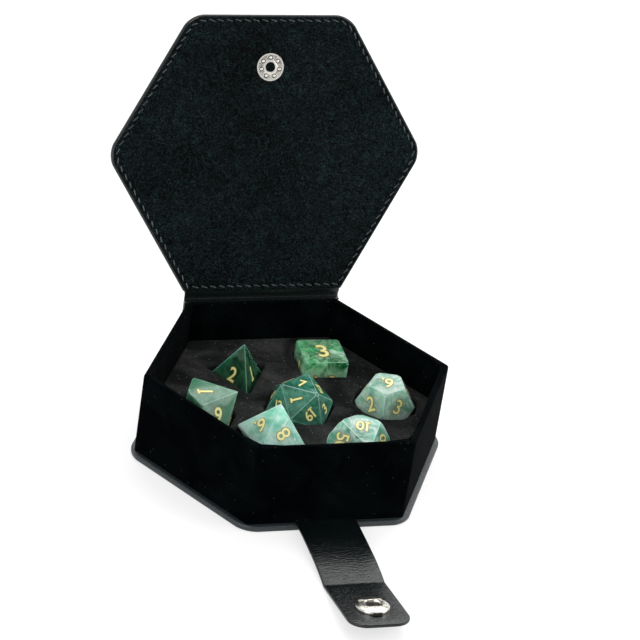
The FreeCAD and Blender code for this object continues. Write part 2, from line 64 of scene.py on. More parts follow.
Colour = tuple[float, float, float]
Piece = bpy.types.Object
Test = Callable[..., bool]
Socket = bpy.types.NodeSocket
Value = Union[bpy.types.NodeSocket, float, tuple[float, ...]]
Face = tuple[Vector, Vector, list[Vector]]


# --------------------------------------------------------------------------------------------
# Bench: selecting, adding and shaping meshes
# --------------------------------------------------------------------------------------------
class Pick(Enum):
    """What an edit selects, in the order of Blender's select modes."""

    CORNERS = 0
    EDGES = 1
    FACES = 2


def put_down() -> None:
    """Leave edit mode and deselect every object."""
    if bpy.context.object is not None and bpy.context.object.mode != "OBJECT":
        bpy.ops.object.mode_set(mode="OBJECT")
    bpy.ops.object.select_all(action="DESELECT")


def take_up(piece: Piece) -> None:
    """Make a piece the active and only selected object.

    Args:
        piece: The object to work on.
    """
    put_down()
    piece.select_set(True)
    bpy.context.view_layer.objects.active = piece


def christen(name: str) -> Piece:
    """Name the object just added.

    Args:
        name: The piece's name.

    Returns:
        The object.
    """
    piece = bpy.context.object
    piece.name = piece.data.name = name
    return piece


def apply_place(piece: Piece, place: Optional[Matrix] = None) -> Piece:
    """Move a piece's place, turn and size into its mesh.

    Args:
        piece: The object.
        place: A matrix to put in front of the object's own, or None.

    Returns:
        The same object.
    """
    take_up(piece)
    if place is not None:
        piece.matrix_world = place @ piece.matrix_world
    bpy.ops.object.transform_apply(location=True, rotation=True, scale=True)
    return piece


def add(kind: str, name: str, scale: Place = (1.0, 1.0, 1.0), **settings: object) -> Piece:
    """Add a primitive, size it and move its place into its mesh.

    Args:
        kind: Blender's name of the primitive.
        name: The piece's name.
        scale: Its size along its own axes.
        settings: The primitive's settings.

    Returns:
        The piece.
    """
    put_down()
    getattr(bpy.ops.mesh, f"primitive_{kind}_add")(**settings)
    piece = christen(name)
    piece.scale = scale
    return apply_place(piece)


@contextmanager
def editing(piece: Piece, pick: Pick, wanted: Optional[Test] = None) -> Iterator[None]:
    """Work in edit mode with chosen elements selected.

    Args:
        piece: The mesh object to edit.
        pick: Whether corners, edges or faces are chosen.
        wanted: A test of a corner's place, an edge's two ends, or a face's middle and normal.
            None takes all.

    Returns:
        A context that leaves edit mode at its end.
    """
    take_up(piece)
    bpy.context.tool_settings.mesh_select_mode = tuple(kind is pick for kind in Pick)
    mesh = piece.data
    for group in (mesh.vertices, mesh.edges, mesh.polygons):
        group.foreach_set("select", [False] * len(group))
    measures = {
        Pick.CORNERS: lambda corner: (corner.co,),
        Pick.EDGES: lambda edge: [mesh.vertices[i].co for i in edge.vertices],
        Pick.FACES: lambda face: (face.center, face.normal),
    }
    for element in (mesh.vertices, mesh.edges, mesh.polygons)[pick.value]:
        element.select = wanted is None or wanted(*measures[pick](element))
    bpy.ops.object.mode_set(mode="EDIT")
    yield
    bpy.ops.object.mode_set(mode="OBJECT")


def extrude(x: float, y: float, z: float) -> None:
    """Extrude what is selected by a shift."""
    bpy.ops.mesh.extrude_region_move(TRANSFORM_OT_translate={"value": (x, y, z)})


def settle(piece: Piece, kind: str, **settings: object) -> None:
    """Add a modifier and apply it at once.

    Args:
        piece: The object.
        kind: Blender's name of the modifier.
        settings: The modifier's settings.
    """
    take_up(piece)
    modifier = piece.modifiers.new(kind.lower(), kind)
    for name, value in settings.items():
        setattr(modifier, name, value)
    bpy.ops.object.modifier_apply(modifier=modifier.name)


def even_normals(piece: Piece) -> None:
    """Turn all faces of a closed piece outwards."""
    with editing(piece, Pick.FACES):
        bpy.ops.mesh.normals_make_consistent(inside=False)


def smooth(piece: Piece, degrees: float) -> None:
    """Shade a piece smooth where its faces meet at less than an angle."""
    take_up(piece)
    bpy.ops.object.shade_smooth_by_angle(angle=math.radians(degrees))


def join(pieces: Sequence[Piece], name: str) -> Piece:
    """Join several objects into one.

    Args:
        pieces: The objects; the first keeps its materials' order.
        name: The joined piece's name.

    Returns:
        The joined object.
    """
    put_down()
    for piece in pieces:
        piece.select_set(True)
    bpy.context.view_layer.objects.active = pieces[0]
    if len(pieces) > 1:
        bpy.ops.object.join()
    return christen(name)


def double(piece: Piece, place: Matrix) -> Piece:
    """Copy a piece with a mesh of its own.

    Args:
        piece: The pattern.
        place: Where the copy goes, which is moved into its mesh.

    Returns:
        The copy, at the origin and without a parent.
    """
    copy = piece.copy()
    copy.data = piece.data.copy()
    copy.parent = None
    copy.matrix_world = Matrix.Identity(4)
    bpy.context.scene.collection.objects.link(copy)
    copy.data.transform(place)
    return copy


def discard(piece: Piece) -> None:
    """Remove a pattern piece that was only copied from."""
    take_up(piece)
    bpy.ops.object.delete()


def level_at(*heights: float) -> Test:
    """Make a test for edges that lie level at one of some heights."""
    return lambda a, b: any(abs(a.z - z) < HAIR and abs(b.z - z) < HAIR for z in heights)


def upright(a: Vector, b: Vector) -> bool:
    """Whether an edge stands upright."""
    return abs(a.x - b.x) + abs(a.y - b.y) < HAIR < abs(a.z - b.z)


def soften_edges(
    piece: Piece, wanted: Optional[Test], radius: float, steps: int, **more: int
) -> None:
    """Round chosen edges.

    Args:
        piece: The object.
        wanted: A test of an edge's two ends, or None for all edges.
        radius: How far the rounding reaches from the edge.
        steps: The number of facets of the rounding.
        more: Further settings of the bevel.
    """
    with editing(piece, Pick.EDGES, wanted):
        bpy.ops.mesh.bevel(
            offset=radius, offset_type="OFFSET", segments=steps, profile=0.5, affect="EDGES", **more
        )


def to_metres(points: Sequence[Point]) -> list[Point]:
    """Turn points in millimetres into metres."""
    return [(a * MM, b * MM) for a, b in points]


def turn_about(y: float, z: float, degrees: float) -> Matrix:
    """Turn about a line along X through a point of the YZ plane."""
    to = Matrix.Translation((0.0, y, z))
    return to @ Matrix.Rotation(math.radians(degrees), 4, "X") @ to.inverted()


@dataclass(frozen=True)
class HexOutline:
    """A hexagon with two sides along X and rounded corners.

    Attributes:
        width: Corner to corner along X.
        depth: Side to side along Y.
        middle: The Y of its middle.
        radius: The radius of the corners away from the hinge.
        rear_radius: The radius of the two corners beside the hinge.
    """

    width: float
    depth: float
    middle: float
    radius: float
    rear_radius: float

    def within(self, distance: float) -> "HexOutline":
        """Draw the outline again, smaller.

        Args:
            distance: How much smaller it is on every side.

        Returns:
            The smaller outline.
        """
        share = 1.0 - 2.0 * distance / self.depth
        sizes = (self.width * share, self.depth * share)
        return HexOutline(*sizes, self.middle, self.radius * share, self.rear_radius * share)

    def terrace(self, piece: Piece, way: float, steps: Sequence[Point]) -> None:
        """Step a level face of a plate inwards, as rings of smaller outlines.

        Args:
            piece: The plate.
            way: 1 for its upper face, -1 for its lower face.
            steps: How far each ring lies inside the outline, and how far it sinks from the ring
                before, in millimetres.
        """
        with editing(piece, Pick.FACES, lambda middle, normal: normal.z * way > 0.99):
            share = 1.0
            for distance, sink in to_metres(steps):
                wanted = 1.0 - 2.0 * distance / self.depth
                ratio = wanted / share
                extrude(0.0, 0.0, -way * sink)
                bpy.ops.transform.resize(
                    value=(ratio, ratio, 1.0), center_override=(0.0, self.middle, 0.0)
                )
                share = wanted

    def plate(self, name: str, low: float, high: float, steps: int) -> Piece:
        """Raise the outline into a plate.

        Args:
            name: The piece's name.
            low: The underside's height.
            high: The top's height.
            steps: The facets of a corner away from the hinge.

        Returns:
            The plate, its place in its mesh.
        """
        sixth = math.radians(30.0)
        turn = (0.0, 0.0, sixth)
        piece = add(
            "circle", name, vertices=6, radius=self.width / 2.0, fill_type="NGON", rotation=turn
        )
        piece.scale = (1.0, self.depth / (self.width * math.cos(sixth)), 1.0)
        piece.location = (0.0, self.middle, low)
        apply_place(piece)
        with editing(piece, Pick.FACES):
            extrude(0.0, 0.0, high - low)
        even_normals(piece)
        back = self.middle + self.depth / 2.0 - HAIR
        reach = self.radius * math.tan(sixth)
        soften_edges(piece, lambda a, b: upright(a, b) and a.y < back, reach, steps)
        reach = self.rear_radius * math.tan(sixth)
        rear = self.width / 5.0
        soften_edges(piece, lambda a, b: upright(a, b) and a.y > back and abs(a.x) > rear, reach, 4)
        return piece

    def walk(self, pitch: float) -> list[tuple[Vector, Vector]]:
        """Step round the outline at an even pitch.

        Args:
            pitch: The wanted distance between two steps.

        Returns:
            The place and the direction of each step, at height 0.
        """
        half, quarter, deep = self.width / 2.0, self.width / 4.0, self.depth / 2.0
        rear = [(half, 0.0), (quarter, deep), (-quarter, deep)]
        corners = rear + [(-x, -y) for x, y in rear]
        points = [Vector((x, self.middle + y, 0.0)) for x, y in corners]
        line: list[Vector] = []
        for index, corner in enumerate(points):
            before = (points[index - 1] - corner).normalized()
            after = (points[(index + 1) % 6] - corner).normalized()
            radius = self.rear_radius if index in (1, 2) else self.radius
            run = radius * math.tan(before.angle(-after) / 2.0)
            start, end = corner + before * run, corner + after * run
            for share in (step / 8.0 for step in range(9)):
                line.append(start.lerp(corner, share).lerp(corner.lerp(end, share), share))
        line.append(line[0])
        lengths = [(b - a).length for a, b in zip(line, line[1:])]
        count = round(sum(lengths) / pitch)
        steps = []
        travelled, segment = 0.0, 0
        for index in range(count):
            wanted = (index + 0.5) * sum(lengths) / count
            while travelled + lengths[segment] < wanted:
                travelled += lengths[segment]
                segment += 1
            a, b = line[segment], line[segment + 1]
            share = (wanted - travelled) / lengths[segment]
            steps.append((a.lerp(b, share), (b - a).normalized()))
        return steps


def lathe(
    name: str, profile: Sequence[Point], base: float, y: float, x: float = 0.0, steps: int = 48
) -> Piece:
    """Turn a round piece from a profile, one ring after another.

    Args:
        name: The piece's name.
        profile: The (radius, height) points from its first end to its last, in millimetres.
        base: The height that the profile's heights count from.
        y: The Y of its axis.
        x: The X of its axis.
        steps: The number of facets round it.

    Returns:
        The closed piece.
    """
    rings = [(r * MM, base + h * MM) for r, h in profile]
    radius, height = rings[0]
    piece = add(
        "circle", name, vertices=steps, radius=radius, fill_type="NGON", location=(x, y, height)
    )
    with editing(piece, Pick.FACES):
        for wide, high in rings[1:]:
            extrude(0.0, 0.0, high - height)
            share = wide / radius
            bpy.ops.transform.resize(value=(share, share, 1.0), center_override=(x, y, high))
            radius, height = wide, high
    even_normals(piece)
    smooth(piece, 32.0)
    return piece


def sharp_edges(piece: Piece, degrees: float) -> set[tuple[int, int]]:
    """Find the edges where two faces meet at more than an angle.

    Args:
        piece: The object.
        degrees: The angle.

    Returns:
        The edges as pairs of corner indices.
    """
    beside: dict[tuple[int, int], list[Vector]] = {}
    for face in piece.data.polygons:
        for key in face.edge_keys:
            beside.setdefault(key, []).append(face.normal)
    least = math.radians(degrees)
    return {key for key, n in beside.items() if len(n) == 2 and n[0].angle(n[1]) > least}


def ribbon(
    name: str, half: float, path: Sequence[Point], thickness: float, tip: float = 0.0,
    joined: Optional[float] = None,
) -> Piece:
    """Model a strip of leather that follows a line in the YZ plane.

    Args:
        name: The piece's name.
        half: Half of its width.
        path: The (y, z) points of the surface that faces along the first run's normal.
        thickness: Its thickness, which lies behind that surface.
        tip: The radius of the two corners at its far end, or 0.
        joined: The Y of an end that meets another strip and stays square, or None.

    Returns:
        The strip.
    """
    (y0, z0), (y1, z1) = path[0], path[1]
    lean = 1.0 if y1 > y0 else -1.0
    piece = add(
        "plane", name, (2.0 * half, math.hypot(y1 - y0, z1 - z0), 1.0), size=1.0,
        location=(0.0, (y0 + y1) / 2.0, (z0 + z1) / 2.0),
        rotation=(math.atan2(lean * (z1 - z0), lean * (y1 - y0)), 0.0, 0.0),
    )
    near = 10.0 * HAIR
    lead, end = Vector((0.0, y1, z1)), Vector((0.0, *path[-1]))
    with editing(piece, Pick.EDGES, lambda a, b: ((a + b) / 2.0 - lead).length < near):
        for (ya, za), (yb, zb) in zip(path[1:], path[2:]):
            extrude(0.0, yb - ya, zb - za)
    if tip:
        with editing(piece, Pick.CORNERS, lambda c: (Vector((0.0, c.y, c.z)) - end).length < near):
            bpy.ops.mesh.bevel(
                offset=tip, offset_type="OFFSET", segments=10, profile=0.5, affect="VERTICES"
            )
    settle(piece, "SOLIDIFY", thickness=thickness, offset=-1.0, use_even_offset=True)
    even_normals(piece)

    def trace(ends: Sequence[Vector]) -> tuple[float, ...]:
        """Name an edge by its rounded ends, whichever comes first."""
        return tuple(round(v, 7) for corner in sorted(map(tuple, ends)) for v in corner)

    corners = piece.data.vertices
    places = [[corners[i].co for i in key] for key in sharp_edges(piece, 50.0)]
    if joined is not None:
        places = [pair for pair in places if any(abs(c.y - joined) > near for c in pair)]
    chosen = {trace(pair) for pair in places}
    soften_edges(piece, lambda a, b: trace((a, b)) in chosen, thickness * 0.3, 3)
    smooth(piece, 40.0)
    return piece


# --------------------------------------------------------------------------------------------
# Paint shop: node groups and finishes
# --------------------------------------------------------------------------------------------
class Wiring:
    """Adds and joins the nodes of a material, world or group."""

    def __init__(self, tree: bpy.types.NodeTree) -> None:
        """Take a tree to work on."""
        self.tree = tree

    @property
    def where(self) -> Socket:
        """Give the coordinates of the object itself."""
        return self.node("TexCoord").outputs["Object"]

    def feed(self, socket: Socket, value: Value) -> None:
        """Wire an output to a socket, or set the socket.

        Args:
            socket: The socket.
            value: The output, or a number, a colour or a vector.
        """
        if isinstance(value, bpy.types.NodeSocket):
            self.tree.links.new(value, socket)
        else:
            socket.default_value = (*value, 1.0) if socket.type == "RGBA" else value

    def fill(self, node: bpy.types.Node, **values: Value) -> None:
        """Feed a node's sockets by name, with _ for a space."""
        for name, value in values.items():
            self.feed(node.inputs[name.replace("_", " ")], value)

    def node(self, kind: str, **settings: object) -> bpy.types.Node:
        """Add a node.

        Args:
            kind: Blender's identifier of the node, without "ShaderNode".
            settings: Its attributes; a name that starts with in_ feeds the socket of that name.

        Returns:
            The node.
        """
        made = self.tree.nodes.new(kind if kind.startswith("Node") else "ShaderNode" + kind)
        for name, value in settings.items():
            if name.startswith("in_"):
                self.fill(made, **{name[3:]: value})
            else:
                setattr(made, name, value)
        return made

    def combine(self, kind: str, operation: str, first: Value, second: Value) -> bpy.types.Node:
        """Add a node that works on two values.

        Args:
            kind: The node's kind.
            operation: Blender's name of the operation.
            first: The first value.
            second: The second value.

        Returns:
            The node.
        """
        made = self.node(kind, operation=operation)
        self.feed(made.inputs[0], first)
        self.feed(made.inputs[1], second)
        return made

    def maths(self, operation: str, first: Value, second: Value = 0.0) -> Socket:
        """Add a Math node and return its result."""
        return self.combine("Math", operation, first, second).outputs[0]

    def vector(self, operation: str, first: Value, second: Value) -> bpy.types.Node:
        """Add a Vector Math node and return it."""
        return self.combine("VectorMath", operation, first, second)

    def blend(self, share: Value, first: Value, second: Value) -> Socket:
        """Mix two colours.

        Args:
            share: The second colour's share.
            first: The first colour.
            second: The second colour.

        Returns:
            The mixed colour.
        """
        made = self.node("Mix", data_type="RGBA")
        for index, value in ((0, share), (6, first), (7, second)):
            self.feed(made.inputs[index], value)
        return made.outputs[2]

    def remap(
        self, value: Socket, low: float, high: float, bottom: float = 0.0, top: float = 1.0
    ) -> Socket:
        """Stretch a value so that low becomes bottom and high becomes top, clamped.

        Args:
            value: The value.
            low: What becomes the bottom.
            high: What becomes the top.
            bottom: The least result.
            top: The largest result.

        Returns:
            The stretched value.
        """
        made = self.node("MapRange", in_Value=value, in_From_Min=low, in_From_Max=high)
        self.fill(made, To_Min=bottom, To_Max=top)
        return made.outputs[0]

    def bump(self, shader: bpy.types.Node, height: Socket, depth: float, strength: float) -> None:
        """Feed a height through a Bump node to the shader's normal.

        Args:
            shader: The Principled shader.
            height: The height.
            depth: The distance in metres that a height of 1 stands for.
            strength: The bump's strength.
        """
        relief = self.node("Bump", in_Strength=strength, in_Distance=depth, in_Height=height)
        self.feed(shader.inputs["Normal"], relief.outputs[0])


def start_group(
    name: str, outputs: Sequence[str], **inputs: float
) -> tuple[Wiring, bpy.types.NodeOutputs, bpy.types.Node]:
    """Start a shader node group with number sockets.

    Args:
        name: The group's name.
        outputs: The name of each output.
        inputs: The first value of each input.

    Returns:
        The group's wiring, the sockets that bring its inputs, and the node that takes its outputs.
    """
    tree = bpy.data.node_groups.new(name, "ShaderNodeTree")
    for label, value in inputs.items():
        socket = tree.interface.new_socket(label, in_out="INPUT", socket_type="NodeSocketFloat")
        socket.default_value = value
    for label in outputs:
        tree.interface.new_socket(label, in_out="OUTPUT", socket_type="NodeSocketFloat")
    wiring = Wiring(tree)
    return wiring, wiring.node("NodeGroupInput").outputs, wiring.node("NodeGroupOutput")


def build_grain() -> bpy.types.NodeTree:
    """Wire leather grain: pebbles, drawn creases between them and a soft unevenness, and the masks
    for painted shade in its crevices and a painted highlight on its fine curls.

    Returns:
        The group.
    """
    wiring, given, result = start_group(
        "leather_grain", ("Height", "Crevice", "Patch", "Curl"), Pebble=900.0, Crease=0.5, Sway=0.5
    )
    where, maths = wiring.where, wiring.maths
    sway = wiring.node("TexNoise", in_Vector=where, in_Scale=90.0, in_Detail=3.0)
    shift = wiring.node(
        "VectorMath", operation="SCALE", in_Vector=sway.outputs["Color"], in_Scale=0.004
    )
    bent = wiring.vector("ADD", where, shift.outputs[0]).outputs[0]
    cells = wiring.node("TexVoronoi", feature="DISTANCE_TO_EDGE", in_Vector=bent)
    wiring.fill(cells, Scale=given["Pebble"])
    pebble = wiring.remap(cells.outputs["Distance"], 0.0, 0.22)
    broad = wiring.node(
        "TexNoise", in_Vector=bent, in_Detail=6.0, in_Roughness=0.62, in_Distortion=1.4,
        in_Scale=maths("MULTIPLY", given["Pebble"], 0.35),
    )
    off = maths("ABSOLUTE", maths("SUBTRACT", broad.outputs["Fac"], 0.5))
    folds = wiring.remap(off, 0.0, 0.06)
    patch = wiring.node("TexNoise", in_Vector=where, in_Scale=38.0, in_Detail=2.0).outputs["Fac"]
    weighted = maths("MULTIPLY", folds, given["Crease"])
    slow = maths("MULTIPLY", patch, given["Sway"])
    fine = wiring.node(
        "TexNoise", in_Vector=bent, in_Detail=2.0, in_Roughness=0.5, in_Distortion=1.8,
        in_Scale=maths("MULTIPLY", given["Pebble"], 0.55),
    )
    away = maths("ABSOLUTE", maths("SUBTRACT", fine.outputs["Fac"], 0.5))
    wiring.fill(
        result,
        Height=maths("ADD", maths("ADD", pebble, weighted), slow),
        Crevice=maths("SUBTRACT", 1.0, maths("MULTIPLY", pebble, folds)),
        Patch=wiring.remap(patch, 0.35, 0.68),
        Curl=maths("SUBTRACT", 1.0, wiring.remap(away, 0.0, 0.05)),
    )
    return wiring.tree


def build_lint() -> bpy.types.NodeTree:
    """Wire the pile of flock or velvet: fibres, brushed patches and pale specks of lint.

    Returns:
        The group.
    """
    wiring, given, result = start_group(
        "pile_and_lint", ("Height", "Brushed", "Speck"), Fibre=4200.0, Speck=900.0, Amount=0.05
    )
    where = wiring.where
    fibre = wiring.node(
        "TexNoise", in_Vector=where, in_Scale=given["Fibre"], in_Detail=2.0, in_Roughness=0.7
    )
    brushed = wiring.node(
        "TexNoise", in_Vector=where, in_Scale=70.0, in_Detail=4.0, in_Distortion=0.6
    )
    dots = wiring.node("TexVoronoi", feature="F1", in_Vector=where, in_Scale=given["Speck"])
    lot = wiring.node("SeparateColor", in_Color=dots.outputs["Color"])
    near = wiring.maths("LESS_THAN", dots.outputs["Distance"], 0.2)
    chosen = wiring.maths("LESS_THAN", lot.outputs[0], given["Amount"])
    wiring.fill(
        result,
        Height=fibre.outputs["Fac"],
        Brushed=wiring.remap(brushed.outputs["Fac"], 0.3, 0.72),
        Speck=wiring.maths("MULTIPLY", near, chosen),
    )
    return wiring.tree


def build_clouds() -> bpy.types.NodeTree:
    """Wire clouded stone: bands, milky wisps and dark pockets.

    Returns:
        The group.
    """
    wiring, given, result = start_group("stone_clouds", ("Band", "Wisp", "Pocket"), Scale=90.0)
    where = wiring.where
    kinds = {
        "Band": (1.0, (0.36, 0.64), {"in_Detail": 3.0, "in_Roughness": 0.55, "in_Distortion": 1.1}),
        "Wisp": (1.9, (0.42, 0.72), {"in_Detail": 8.0, "in_Roughness": 0.68, "in_Distortion": 2.2}),
        "Pocket": (2.6, (0.58, 0.74), {"in_Detail": 1.0, "in_Distortion": 0.4}),
    }
    for name, (finer, ends, settings) in kinds.items():
        scale = wiring.maths("MULTIPLY", given["Scale"], finer)
        noise = wiring.node("TexNoise", in_Vector=where, in_Scale=scale, **settings)
        wiring.fill(result, **{name: wiring.remap(noise.outputs["Fac"], *ends)})
    return wiring.tree


class Effect(Enum):
    """The node groups that finishes share."""

    GRAIN = "leather_grain"
    LINT = "pile_and_lint"
    CLOUDS = "stone_clouds"

    def place(self, wiring: Wiring, **values: float) -> bpy.types.NodeOutputs:
        """Place the group in a material with its own values, and build it on first use.

        Args:
            wiring: The material's wiring.
            values: The group's inputs by name.

        Returns:
            The group's results by name.
        """
        builders = {Effect.GRAIN: build_grain, Effect.LINT: build_lint, Effect.CLOUDS: build_clouds}
        tree = bpy.data.node_groups.get(self.value) or builders[self]()
        made = wiring.node("Group", node_tree=tree)
        wiring.fill(made, **values)
        return made.outputs


@dataclass(frozen=True)
class Finish:
    """A material with one Principled shader.

    Attributes:
        name: The material's name.
    """

    name: str

    def material(self) -> bpy.types.Material:
        """Build the material.

        Returns:
            The material.
        """
        material = bpy.data.materials.new(self.name)
        material.use_nodes = True
        self.paint(Wiring(material.node_tree), material.node_tree.nodes["Principled BSDF"])
        return material

    def paint(self, wiring: Wiring, shader: bpy.types.Node) -> None:
        """Feed the shader, each kind of finish in its own way."""
        raise NotImplementedError


@dataclass(frozen=True)
class Leather(Finish):
    """Black coated leather.

    Attributes:
        dark: The colour painted into the crevices, a painted shade.
        light: The colour painted on the fine curls of the grain, a painted highlight.
        gloss: The roughness of the high spots.
        dull: The roughness of the crevices.
        pebble: Pebbles to a metre.
        crease: The weight of drawn creases.
        depth: The relief of the grain in metres.
        shine: The shader's specular level.
        curl_highlight: How strongly the painted highlight on the fine curls of the grain shows.
        wrinkle: The weight of the fine wrinkles that run across the piece.
    """

    dark: Colour = (0.0020, 0.0036, 0.0040)
    light: Colour = (0.0085, 0.0135, 0.0142)
    gloss: float = 0.36
    dull: float = 0.62
    pebble: float = 900.0
    crease: float = 0.5
    depth: float = 0.00006
    shine: float = 0.5
    curl_highlight: float = 0.4
    wrinkle: float = 0.0

    def paint(self, wiring: Wiring, shader: bpy.types.Node) -> None:
        """Colour the grain with painted shade in its crevices and a painted highlight on its curls,
        and raise it with its wrinkles.

        Args:
            wiring: The material's wiring.
            shader: Its Principled shader.
        """
        grain = Effect.GRAIN.place(wiring, Pebble=self.pebble, Crease=self.crease, Sway=0.6)
        middle = tuple((d + l) / 2.0 for d, l in zip(self.dark, self.light))
        tone = wiring.blend(grain["Patch"], self.dark, middle)
        # Painted shade darkens the crevices; a painted highlight lightens the fine curls.
        tone = wiring.blend(grain["Crevice"], tone, self.dark)
        curl_highlight = wiring.maths("MULTIPLY", grain["Curl"], self.curl_highlight)
        wiring.fill(
            shader,
            Base_Color=wiring.blend(curl_highlight, tone, self.light),
            Roughness=wiring.remap(grain["Crevice"], 0.0, 1.0, self.gloss, self.dull),
            Specular_IOR_Level=self.shine,
        )
        across = wiring.vector("MULTIPLY", wiring.where, (0.45, 1.0, 1.0)).outputs[0]
        lines = wiring.node(
            "TexNoise", in_Vector=across, in_Scale=1400.0, in_Detail=3.0, in_Distortion=0.5
        )
        drawn = wiring.maths("MULTIPLY", lines.outputs["Fac"], self.wrinkle)
        wiring.bump(shader, wiring.maths("ADD", grain["Height"], drawn), self.depth, 1.0)


@dataclass(frozen=True)
class Pile(Finish):
    """Velvet or flock.

    Attributes:
        dark: The colour of the pile seen along the fibres.
        light: The colour where the pile is brushed.
        fibre: Tufts to a metre.
        amount: The share of speck cells that hold a speck.
        sheen: The sheen's weight.
        shine: The shader's specular level.
        lint: The colour of the specks.
        speck: Speck cells to a metre.
        depth: The relief of the fibres in metres.
    """

    dark: Colour
    light: Colour
    fibre: float
    amount: float
    sheen: float
    shine: float
    lint: Colour = (0.10, 0.105, 0.10)
    speck: float = 1500.0
    depth: float = 0.00016

    def paint(self, wiring: Wiring, shader: bpy.types.Node) -> None:
        """Colour the pile by its tufts, strew lint on it and raise it.

        Args:
            wiring: The material's wiring.
            shader: Its Principled shader.
        """
        pile = Effect.LINT.place(wiring, Fibre=self.fibre, Speck=self.speck, Amount=self.amount)
        mottled = wiring.maths("MULTIPLY", pile["Height"], pile["Brushed"])
        tone = wiring.blend(wiring.remap(mottled, 0.1, 0.62), self.dark, self.light)
        wiring.fill(
            shader,
            Base_Color=wiring.blend(pile["Speck"], tone, self.lint),
            Roughness=0.95,
            Specular_IOR_Level=self.shine,
            Sheen_Weight=self.sheen,
            Sheen_Roughness=0.45,
        )
        wiring.bump(shader, pile["Height"], self.depth, 0.9)


@dataclass(frozen=True)
class Metal(Finish):
    """Plated or painted metal.

    Attributes:
        tint: The colour.
        rough: The roughness of clean spots.
        worn: The roughness of handled spots.
        metallic: 1 for bare metal, 0 for paint.
    """

    tint: Colour
    rough: float
    worn: float = 0.3
    metallic: float = 1.0

    def paint(self, wiring: Wiring, shader: bpy.types.Node) -> None:
        """Vary the colour and the roughness with faint smears.

        Args:
            wiring: The material's wiring.
            shader: Its Principled shader.
        """
        smear = wiring.node(
            "TexNoise", in_Vector=wiring.where, in_Scale=420.0, in_Detail=4.0, in_Distortion=0.8
        ).outputs["Fac"]
        wiring.fill(
            shader,
            Base_Color=wiring.blend(smear, self.tint, tuple(0.82 * c for c in self.tint)),
            Roughness=wiring.remap(smear, 0.0, 1.0, self.rough, self.worn),
            Metallic=self.metallic,
        )
        wiring.bump(shader, smear, 0.00001, 0.4)


@dataclass(frozen=True)
class Stone(Finish):
    """Clouded translucent stone of the dice.

    Attributes:
        deep: The colour of the clear parts.
        middle: The colour of the bands.
        milk: The colour of the wisps.
        milky: How much of the wisps shows, from 0 to 1.
        glow: How strongly the lower half is painted paler, a painted glow that stands in for light
            gathering there.
        clear: The transmission's weight.
        scale: Clouds to a metre.
    """

    deep: Colour
    middle: Colour
    milk: Colour
    milky: float
    glow: float
    clear: float
    scale: float

    def paint(self, wiring: Wiring, shader: bpy.types.Node) -> None:
        """Layer bands, wisps and pockets, paint a paler glow on the lower half and let light
        scatter inside.

        Args:
            wiring: The material's wiring.
            shader: Its Principled shader.
        """
        clouds = Effect.CLOUDS.place(wiring, Scale=self.scale)
        tone = wiring.blend(clouds["Band"], self.deep, self.middle)
        tone = wiring.blend(wiring.maths("MULTIPLY", clouds["Wisp"], self.milky), tone, self.milk)
        tone = wiring.blend(wiring.maths("MULTIPLY", clouds["Pocket"], 0.75), tone, self.deep)
        # Painted glow: the lower half is painted paler, towards a lit mix of the bands and the
        # wisps.
        rise = wiring.node("SeparateXYZ", in_Vector=wiring.node("TexCoord").outputs["Generated"])
        low = wiring.maths("MULTIPLY", wiring.remap(rise.outputs["Z"], 0.85, 0.3), self.glow)
        painted_glow_share = wiring.maths("MULTIPLY", low, wiring.maths("ADD", clouds["Band"], 0.35))
        painted_glow_colour = tuple(min(1.0, 0.35 * m + 0.75 * c) for m, c in zip(self.middle, self.milk))
        wiring.fill(
            shader,
            Base_Color=wiring.blend(painted_glow_share, tone, painted_glow_colour),
            Roughness=0.12,
            IOR=1.5,
            Transmission_Weight=self.clear,
            Specular_IOR_Level=0.4,
            Subsurface_Weight=0.9,
            Subsurface_Scale=0.008,
            Subsurface_Radius=(0.6, 1.0, 0.85),
        )


@dataclass(frozen=True)
class Plain(Finish):
    """A matt or satin finish with a fine mottle: board, thread, gilt and ground edges; the thread's
    pale mottle is a painted highlight.

    Attributes:
        dark: The darker colour.
        light: The lighter colour.
        rough: The roughness.
        scale: Mottles to a metre.
        depth: The relief in metres.
    """

    dark: Colour
    light: Colour
    rough: float
    scale: float = 1500.0
    depth: float = 0.00003

    def paint(self, wiring: Wiring, shader: bpy.types.Node) -> None:
        """Mottle the colour and raise it a little.

        Args:
            wiring: The material's wiring.
            shader: Its Principled shader.
        """
        mottle = wiring.node(
            "TexNoise", in_Vector=wiring.where, in_Scale=self.scale, in_Detail=4.0
        ).outputs["Fac"]
        tone = wiring.blend(wiring.remap(mottle, 0.3, 0.7), self.dark, self.light)
        wiring.fill(shader, Base_Color=tone, Roughness=self.rough)
        wiring.bump(shader, mottle, self.depth, 0.6)


@dataclass(frozen=True)
class FloorPaint(Finish):
    """The pale floor's paint, which glows where it is seen so that it reads white.

    Attributes:
        tone: How light it is.
        glow: How strongly it glows.
    """

    tone: float = 0.48
    glow: float = 0.62

    def paint(self, wiring: Wiring, shader: bpy.types.Node) -> None:
        """Glow for camera, glossy and transmission rays only.

        Args:
            wiring: The material's wiring.
            shader: Its Principled shader.
        """
        path = wiring.node("LightPath").outputs
        seen = wiring.maths("MAXIMUM", path["Is Camera Ray"], path["Is Glossy Ray"])
        seen = wiring.maths("MAXIMUM", seen, path["Is Transmission Ray"])
        wiring.fill(
            shader,
            Base_Color=(self.tone,) * 3,
            Roughness=0.95,
            Specular_IOR_Level=0.0,
            Emission_Color=(1.0, 1.0, 1.0),
            Emission_Strength=wiring.maths("MULTIPLY", seen, self.glow),
        )


